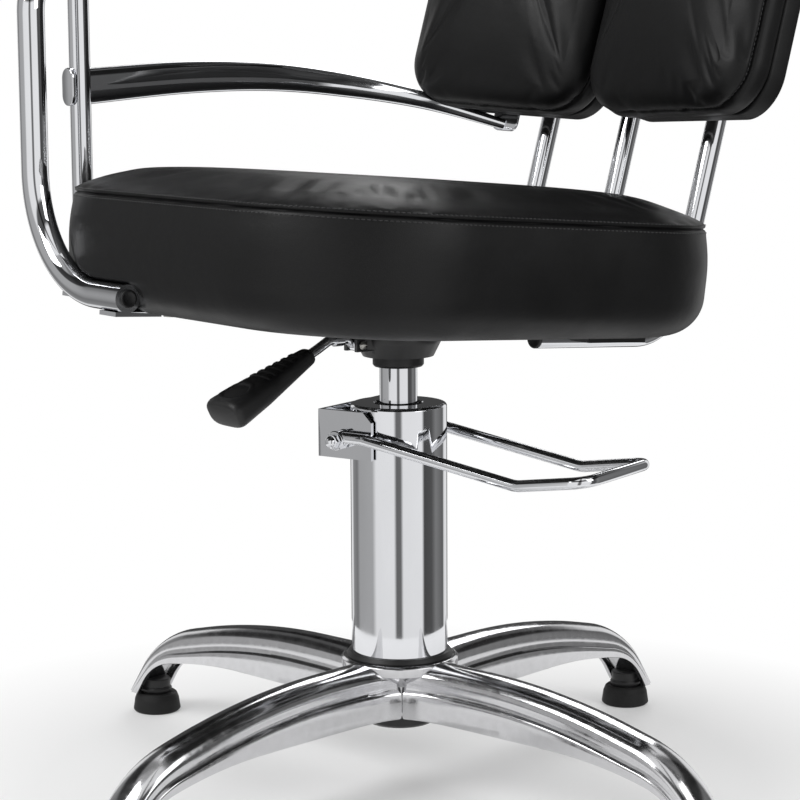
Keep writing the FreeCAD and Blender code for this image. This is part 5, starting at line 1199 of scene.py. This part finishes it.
def back_cushion(side):
    """One black back cushion: a wall off the panel, a seam round its edge and a crowned face."""
    s = sizes()
    half_x, half_y = BACK_HALF_WIDTH, (s.back_height + s.back_drop) / 2
    base = 0.0203
    rows = [(0.012, scale, base) for scale in (0.02, 0.3, 0.6, 0.85)]
    rows += [(0.012, 1.0, base)]
    rows += rolled(0.0, base + 0.010, 0.010, 8, 90, 6)
    rows += [(-0.0006, 1.0, base + 0.016), (0.0002, 1.0, base + 0.020),
             (0.0014, 1.0, base + 0.0225)]
    wall_lip = len(rows) - 1
    rows += [(0.0034, 1.0, base + 0.0236)]
    seam_row = len(rows)
    rows += [(0.0052, 1.0, base + 0.0242), (0.0034, 1.0, base + 0.0250),
             (0.0022, 1.0, base + 0.0264)]
    top_lip = len(rows) - 1
    rows += [(0.0020, 1.0, base + 0.0290), (0.0030, 1.0, base + 0.0330),
             (0.0054, 1.0, base + 0.0374), (0.0092, 1.0, base + 0.0412),
             (0.0144, 1.0, base + 0.0442), (0.0205, 1.0, base + 0.0464)]
    edge = base + 0.0464
    rows += crown(0.0205, edge, base + s.back_thick - edge, 4.0, 14)
    grid = cushion_rows(half_x, half_y, s.back_corner, rows, 20, 30)
    grid = puckered(grid, seam_row, 0.0007, 3.2, 23 + side)
    centre = Matrix.Translation((side * half_x, half_y - s.back_drop, 0))
    place = half_frame(side) @ centre
    node = "back_cushion_" + SIDE_NAMES[side]
    lip_path = seam_path(grid, top_lip, s.stitch_pitch)
    held = list(range(0, 8)) + list(range(wall_lip, top_lip + 1))
    cushion(node + "_cover", node, grid, place, held, 0.004)
    thread_piece(node + "_thread", node, [(lip_path, 0.3)], place)


def back_shell(side):
    """A back cushion's shell: an upholstered board with soft rims, seen from behind."""
    s = sizes()
    half_x, half_y, inset = BACK_HALF_WIDTH, (s.back_height + s.back_drop) / 2, 0.006
    outline = rounded_outline(half_x - inset, half_y - inset, s.back_corner - inset, 20, 20)
    outline = outline + [side * half_x, half_y - s.back_drop - inset / 2]
    node = "back_panel_" + SIDE_NAMES[side]
    piece(node + "_shell", node, [slab_piece(outline, 0.0, 0.020, 0.0035, half_frame(side))],
          look="leatherette")


# The back tubes' places across the seat, and the bend from under the seat up to the lean.
BACK_TUBE_PLACES = (-0.117, 0.0, 0.117)
BACK_TUBE_BEND = 0.055


def back_route(x):
    """A back tube's centre line: under the seat, then up the lean."""
    seat, back = seat_frame(), back_frame()
    start = np.array(seat @ Vector((x, 0.085, -0.0125)))
    along = np.array(seat.to_3x3() @ Vector((0, 1, 0)))
    lean = np.array(back.to_3x3() @ Vector((0, 0, 1)))
    foot = np.array(back @ Vector((x, 0, 0)))
    gap = foot - start
    reach = (gap[1] * lean[2] - gap[2] * lean[1]) / (along[1] * lean[2] - along[2] * lean[1])
    return [start, start + along * reach, foot + lean * (sizes().back_height - 0.020)]


def back_tubes():
    """Three chromed tubes from under the seat up behind the backrest, with black end plugs."""
    r = sizes().back_tube_radius
    tubes, plugs = [], []
    for x in BACK_TUBE_PLACES:
        route = back_route(x)
        tubes.append(tube(rounded_path(route, [BACK_TUBE_BEND], 30), r, 48, (1, 0, 0)))
        for end, following in ((route[0], route[1]), (route[-1], route[-2])):
            plugs.append(end_plug(end, unit(following - end), r))
    piece("back_tube_set", "back_tubes", tubes)
    piece("back_tube_caps", "back_tube_plugs", plugs)


def headrest_frame():
    """The headrest's frame: on its board's face, x across, y up the lean, z to the sitter."""
    stem = back_frame().inverted() @ half_frame(1) @ Vector((0.050, 0.250, -0.0093))
    stem_radius, bracket, board, gap, up_the_lean = 0.006, 0.003, 0.010, 0.0006, 0.520
    near = stem.y - stem_radius - bracket - board - gap
    return (back_frame() @ Matrix.Translation((0, near, up_the_lean))
            @ Matrix.Rotation(np.pi / 2, 4, "X"))


def headrest_cushion():
    """The headrest: a small rounded cushion with one seam round its middle."""
    half_x, half_y, corner, thick = 0.135, 0.060, 0.0432, 0.070
    seam = thick / 2
    rows = [(0.0125, scale, 0.0) for scale in (0.02, 0.35, 0.7)]
    rows += [(0.0125, 1.0, 0.0)]
    rows += rolled(0.0, 0.0125, 0.0125, 6, 90, 7)
    rows += [(-0.0004, 1.0, 0.020), (0.0006, 1.0, seam - 0.0075), (0.0020, 1.0, seam - 0.0030)]
    wall_lip = len(rows) - 1
    rows += [(0.0040, 1.0, seam - 0.0012)]
    seam_row = len(rows)
    rows += [(0.0058, 1.0, seam), (0.0040, 1.0, seam + 0.0012), (0.0028, 1.0, seam + 0.0030)]
    top_lip = len(rows) - 1
    rows += [(0.0024, 1.0, seam + 0.0065)]
    rows += rolled_over(0.0026, seam + 0.009, 0.022, 8)
    rows += crown(0.0246, seam + 0.031, thick - seam - 0.031, 3.5, 10)
    grid = puckered(cushion_rows(half_x, half_y, corner, rows, 22, 16), seam_row, 0.0005, 3.0, 41)
    lip_path = seam_path(grid, top_lip, sizes().stitch_pitch)
    held = list(range(0, 8)) + list(range(wall_lip, top_lip + 1))
    cushion("headrest_cover", "headrest_cushion", grid, headrest_frame(), held, 0.003)
    thread_piece("headrest_thread", "headrest_cushion", [(lip_path, 0.3)], headrest_frame())


def rolled_over(inset, height, radius, count):
    """Rows over an upper edge: inset + radius * (1 - cos a) and height + radius * sin a."""
    turn = np.linspace(0, np.pi / 2, count + 1)[1:]
    return [(inset + radius * (1 - np.cos(a)), 1.0, height + radius * np.sin(a)) for a in turn]


def arm_pad():
    """The arm's pad: a low rounded cushion on its board, with a seam near its lower edge."""
    lowest, highest = low("arm_pad"), high("arm_pad")
    half = (highest - lowest) / 2
    thick = half[2] * 2
    rows = [(0.004, scale, 0.0) for scale in (0.02, 0.5)]
    rows += [(0.004, 1.0, 0.0)]
    rows += rolled(0.0, 0.004, 0.004, 10, 90, 4)
    rows += [(0.0002, 1.0, 0.0062), (0.0012, 1.0, 0.0074)]
    seam_row = len(rows)
    rows += [(0.0026, 1.0, 0.0080), (0.0012, 1.0, 0.0088), (0.0006, 1.0, 0.0104)]
    top_lip = len(rows) - 1
    rows += rolled_over(0.0004, 0.0120, 0.0118, 7)
    rows += crown(0.0122, 0.0238, thick - 0.0238, 2.0, 8)
    grid = cushion_rows(half[0], half[1], half[0] * 0.9, rows, 18, 24)
    grid = puckered(grid, seam_row, 0.0003, 3.0, 57)
    middle = (lowest + highest) / 2
    place = Matrix.Translation((middle[0], middle[1], lowest[2]))
    path = seam_path(grid, top_lip, sizes().stitch_pitch)
    held = list(range(0, 6)) + list(range(seam_row - 1, top_lip + 1))
    cushion("arm_pad_cover", "arm_pad", grid, place, held, 0.0015)
    thread_piece("arm_pad_thread", "arm_pad", [(path, 0.1)], place)


# The stage: a pale floor, a white surround with the dark flags of a studio, and soft lamps.


def floor():
    """A pale round floor that takes the chair's shadow and goes over to white at its rim.

    It is a disc of rings, radius growing evenly from the middle.
    """
    rings, sides, rim = 12, 96, 0.64
    r = np.linspace(0.001, rim, rings)[:, None]
    t = np.linspace(0, TURN, sides, endpoint=False)
    grid = np.stack([r * np.cos(t), r * np.sin(t), np.zeros((rings, sides))], -1)
    here = np.arange(rings * sides).reshape(rings, sides)
    inner, outer = here[:-1], here[1:]
    quads = np.stack([inner, outer, np.roll(outer, -1, 1), np.roll(inner, -1, 1)], -1)
    faces = quads.reshape(-1, 4).tolist() + [here[0].tolist()]
    mesh = bpy.data.meshes.new("floor")
    mesh.from_pydata(grid.reshape(-1, 3).tolist(), [], faces)
    made = bpy.data.objects.new("floor", mesh)
    bpy.context.scene.collection.objects.link(made)
    mesh.materials.append(floor_paint())


def floor_paint():
    """Pale matt studio floor.

    To the camera and in reflections it also glows, from near the feet to its rim ever more, so
    that it turns white while the shadow near the chair stays.
    """
    material, tree, place = started("pale_studio_floor")
    grain = add(tree, "TexNoise", {"Vector": place, "Scale": per_mm(3), "Detail": 3.0})
    dusty = add(tree, "MapRange", {"Value": grain, **NOISE_SPAN})
    tone = add(tree, "Mix", {"Factor": dusty, "A": shade(colours().floor, 0.985),
                             "B": tuple(colours().floor)}, data_type="RGBA")
    matt = add(tree, "BsdfPrincipled", {"Base Color": tone, "Roughness": 0.9,
                                        "Specular IOR Level": 0.1})
    far = add(tree, "VectorMath", {0: place}, operation="LENGTH")
    share = add(tree, "MapRange", {"Value": far, "From Min": 0.34, "From Max": 0.60,
                                   "To Min": 0.22})
    ray = add(tree, "LightPath", {}).outputs
    seen = add(tree, "Math", {0: ray["Is Camera Ray"], 1: ray["Is Glossy Ray"]},
               operation="MAXIMUM")
    seen = add(tree, "Math", {0: seen, 1: ray["Is Transmission Ray"]}, operation="MAXIMUM")
    share = add(tree, "Math", {0: share, 1: seen}, operation="MULTIPLY")
    glow = add(tree, "Emission", {"Color": (1, 1, 1, 1), "Strength": 1.0})
    both = add(tree, "MixShader", {0: share, 1: matt, 2: glow})
    add(tree, "OutputMaterial", {"Surface": both})
    material.cycles.emission_sampling = "NONE"
    return material


# What the metal sees round it: (degrees from the camera's side, grey level), as dark flags
# between white walls.
WALL_LEVELS = [(-180, 0.06), (-161, 0.06), (-156, 0.92), (-146, 0.90), (-138, 0.30), (-118, 0.22),
               (-108, 0.42), (-66, 0.46), (-56, 0.92), (-12, 0.95), (-6, 0.16), (4, 0.18),
               (10, 0.94), (56, 0.96), (62, 0.08), (84, 0.10), (98, 0.24), (128, 0.14),
               (136, 0.92), (156, 0.92), (161, 0.06), (180, 0.06)]
# The same from straight down to straight up: (height of the direction, grey level).
HEIGHT_LEVELS = [(-1.0, 0.90), (-0.30, 0.92), (-0.05, 0.98), (0.0, 1.0), (0.40, 1.0),
                 (0.48, 0.14), (0.76, 0.08), (0.82, 0.95), (1.0, 0.95)]


def set_levels(band, levels, lowest, highest):
    """Grey levels on a colour band, each placed by its share of the way from lowest to highest."""
    while len(band.elements) > 1:
        band.elements.remove(band.elements[0])
    stops = [((at - lowest) / (highest - lowest), (level, level, level, 1)) for at, level in levels]
    band.elements[0].position, band.elements[0].color = stops[0]
    for at, grey in stops[1:]:
        band.elements.new(at).color = grey


def surround():
    """A world that is white to the camera, plain pale light to matt surfaces, and white walls
    with dark flags to the metal's reflections."""
    world = bpy.data.worlds.new("studio_surround")
    world.use_nodes = True
    tree = world.node_tree
    tree.nodes.clear()
    direction = add(tree, "TexCoord", {}).outputs["Generated"]
    turned = add(tree, "Mapping", {"Vector": direction,
                                   "Rotation": (0, 0, np.pi / 2 - sizes().camera_azimuth)})
    axes = add(tree, "SeparateXYZ", {"Vector": turned}).outputs
    bearing = add(tree, "Math", {0: axes["Y"], 1: axes["X"]}, operation="ARCTAN2")
    around = add(tree, "MapRange", {"Value": bearing, "From Min": -np.pi, "From Max": np.pi})
    upward = add(tree, "MapRange", {"Value": axes["Z"], "From Min": -1.0, "From Max": 1.0})
    walls = add(tree, "ValToRGB", {"Fac": around})
    set_levels(walls.color_ramp, WALL_LEVELS, -180, 180)
    heights = add(tree, "ValToRGB", {"Fac": upward})
    set_levels(heights.color_ramp, HEIGHT_LEVELS, -1, 1)
    studio = add(tree, "Mix", {"Factor": 1.0, "A": walls, "B": heights}, data_type="RGBA",
                 blend_type="MULTIPLY")
    ray = add(tree, "LightPath", {}).outputs
    glossy = add(tree, "Background", {"Color": studio, "Strength": 1.0})
    matt = add(tree, "Background", {"Color": (1, 1, 1, 1), "Strength": 0.55})
    white = add(tree, "Background", {"Color": (1, 1, 1, 1), "Strength": 1.0})
    lit = add(tree, "MixShader", {0: ray["Is Glossy Ray"], 1: matt, 2: glossy})
    seen = add(tree, "Math", {0: ray["Is Camera Ray"], 1: ray["Is Transmission Ray"]},
               operation="MAXIMUM")
    shown = add(tree, "MixShader", {0: seen, 1: lit, 2: white})
    add(tree, "OutputWorld", {"Surface": shown})
    bpy.context.scene.world = world


# The soft lamps: name, place, the point that it faces, its width and height, and its watts.
LAMPS = [("key", (-0.6, -2.6, 2.9), (0, 0, 0.4), 1.8, 1.8, 62),
         ("fill", (2.6, 0.8, 2.2), (0, 0, 0.5), 1.6, 2.2, 26),
         ("rim", (-1.8, 2.2, 2.4), (0, 0.1, 0.6), 1.6, 1.6, 28)]


def lamp(name, place, aim, wide, tall, power):
    """A soft rectangular lamp that faces its aim."""
    light = bpy.data.lights.new(name, "AREA")
    light.shape = "RECTANGLE"
    light.size, light.size_y = wide, tall
    light.energy = power
    made = bpy.data.objects.new(name, light)
    place, aim = Vector(place), Vector(aim)
    made.location = place
    made.rotation_euler = (aim - place).to_track_quat("-Z", "Y").to_euler()
    bpy.context.scene.collection.objects.link(made)


def camera():
    """The camera on the photograph's side, looking level with the seat's underside."""
    s = sizes()
    data = bpy.data.cameras.new("camera")
    data.sensor_width = 36.0
    data.lens = 107.1
    data.shift_x = 0.0019
    made = bpy.data.objects.new("camera", data)
    bearing = s.camera_azimuth
    turn = (Matrix.Rotation(bearing, 4, "Z") @ Matrix.Rotation(np.pi / 2 - s.camera_pitch, 4, "X")
            @ Matrix.Rotation(-s.camera_roll, 4, "Z"))
    place = Matrix.Translation((np.sin(bearing) * s.camera_distance,
                                -np.cos(bearing) * s.camera_distance, s.camera_height))
    made.matrix_world = place @ turn
    bpy.context.scene.collection.objects.link(made)
    bpy.context.scene.camera = made


def stage():
    """Floor, surround, three soft lamps and the camera."""
    floor()
    surround()
    for each in LAMPS:
        lamp(*each)
    bpy.context.scene.view_settings.view_transform = "Standard"
    camera()


# The buttons that make each piece, and the panel that lists them.


class CHAIR_OT_base(bpy.types.Operator):
    """Cast the base and set it on its feet"""
    bl_idname = "chair.base"
    bl_label = "Base and feet"

    def execute(self, context):
        base_casting()
        feet()
        return {"FINISHED"}


class CHAIR_OT_pump(bpy.types.Operator):
    """Turn the pump's cover, rings, piston and collar"""
    bl_idname = "chair.pump"
    bl_label = "Pump"

    def execute(self, context):
        pump_column()
        return {"FINISHED"}


class CHAIR_OT_pedal(bpy.types.Operator):
    """Bend the pedal and fit its bracket and nuts"""
    bl_idname = "chair.pedal"
    bl_label = "Pedal"

    def execute(self, context):
        pedal()
        return {"FINISHED"}


class CHAIR_OT_housing(bpy.types.Operator):
    """Finish the tilt housing, its pin and bumpers"""
    bl_idname = "chair.housing"
    bl_label = "Tilt housing"

    def execute(self, context):
        smooth_copies("tilt_housing", "tilt_pin", "tilt_bumpers", "seat_plate", "seat_plate_screws")
        return {"FINISHED"}


class CHAIR_OT_lever(bpy.types.Operator):
    """Bend the lever and mould its ribbed grip"""
    bl_idname = "chair.lever"
    bl_label = "Lever"

    def execute(self, context):
        lever()
        lever_grip()
        return {"FINISHED"}


class CHAIR_OT_seat(bpy.types.Operator):
    """Upholster the seat on its board"""
    bl_idname = "chair.seat"
    bl_label = "Seat"

    def execute(self, context):
        seat_cushion()
        smooth_copies("seat_board")
        return {"FINISHED"}


class CHAIR_OT_arm(bpy.types.Operator):
    """Bend the arm's tubes and rail and fit their caps, straps and screws"""
    bl_idname = "chair.arm"
    bl_label = "Arm"

    def execute(self, context):
        arm_frame()
        arm_rail()
        smooth_copies("arm_straps", "arm_strap_screws", "arm_rail_bolt")
        return {"FINISHED"}


class CHAIR_OT_arm_pad(bpy.types.Operator):
    """Upholster the arm pad on its board"""
    bl_idname = "chair.arm_pad"
    bl_label = "Arm pad"

    def execute(self, context):
        arm_pad()
        smooth_copies("arm_pad_board", "arm_pad_screws")
        return {"FINISHED"}


class CHAIR_OT_back_tubes(bpy.types.Operator):
    """Bend the three back tubes and fit the plate that holds them"""
    bl_idname = "chair.back_tubes"
    bl_label = "Back tubes"

    def execute(self, context):
        back_tubes()
        smooth_copies("back_saddle", "back_saddle_screws", "back_spacers", "back_spacer_bolts",
                      "back_joint_plate", "back_rivets", "back_plate_bolts")
        return {"FINISHED"}


class CHAIR_OT_back(bpy.types.Operator):
    """Upholster the two back cushions and their shells"""
    bl_idname = "chair.back"
    bl_label = "Back cushions"

    def execute(self, context):
        for side in (-1, 1):
            back_cushion(side)
            back_shell(side)
        return {"FINISHED"}


class CHAIR_OT_headrest(bpy.types.Operator):
    """Upholster the headrest and finish its stems and guides"""
    bl_idname = "chair.headrest"
    bl_label = "Headrest"

    def execute(self, context):
        headrest_cushion()
        smooth_copies("headrest_board", "headrest_stems", "headrest_bracket", "headrest_screws",
                      "headrest_guides", "headrest_guide_screws")
        return {"FINISHED"}


class CHAIR_OT_stage(bpy.types.Operator):
    """Set the floor, surround, lamps and camera"""
    bl_idname = "chair.stage"
    bl_label = "Stage"

    def execute(self, context):
        stage()
        return {"FINISHED"}


OPERATORS = (CHAIR_OT_base, CHAIR_OT_pump, CHAIR_OT_pedal, CHAIR_OT_housing, CHAIR_OT_lever,
             CHAIR_OT_seat, CHAIR_OT_arm, CHAIR_OT_arm_pad, CHAIR_OT_back_tubes, CHAIR_OT_back,
             CHAIR_OT_headrest, CHAIR_OT_stage)


class CHAIR_PT_panel(bpy.types.Panel):
    """Lists the chair's pieces with its sizes and colours"""
    bl_idname = "CHAIR_PT_panel"
    bl_label = "Threading Chair"
    bl_space_type = "VIEW_3D"
    bl_region_type = "UI"
    bl_category = "Chair"

    def draw(self, context):
        for group in (sizes(), colours()):
            column = self.layout.column()
            for name in group.__annotations__:
                column.prop(group, name)
        column = self.layout.column()
        for operator in OPERATORS:
            column.operator(operator.bl_idname)


CLASSES = (ChairSizes, ChairColours, *OPERATORS, CHAIR_PT_panel)


def register():
    for each in CLASSES:
        bpy.utils.register_class(each)
    bpy.types.Scene.chair_sizes = bpy.props.PointerProperty(type=ChairSizes)
    bpy.types.Scene.chair_colours = bpy.props.PointerProperty(type=ChairColours)


def unregister():
    del bpy.types.Scene.chair_colours
    del bpy.types.Scene.chair_sizes
    for each in reversed(CLASSES):
        bpy.utils.unregister_class(each)


def main():
    """Registers the add-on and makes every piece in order."""
    register()
    for operator in OPERATORS:
        group, name = operator.bl_idname.split(".")
        getattr(getattr(bpy.ops, group), name)()


if __name__ == "__main__":
    main()
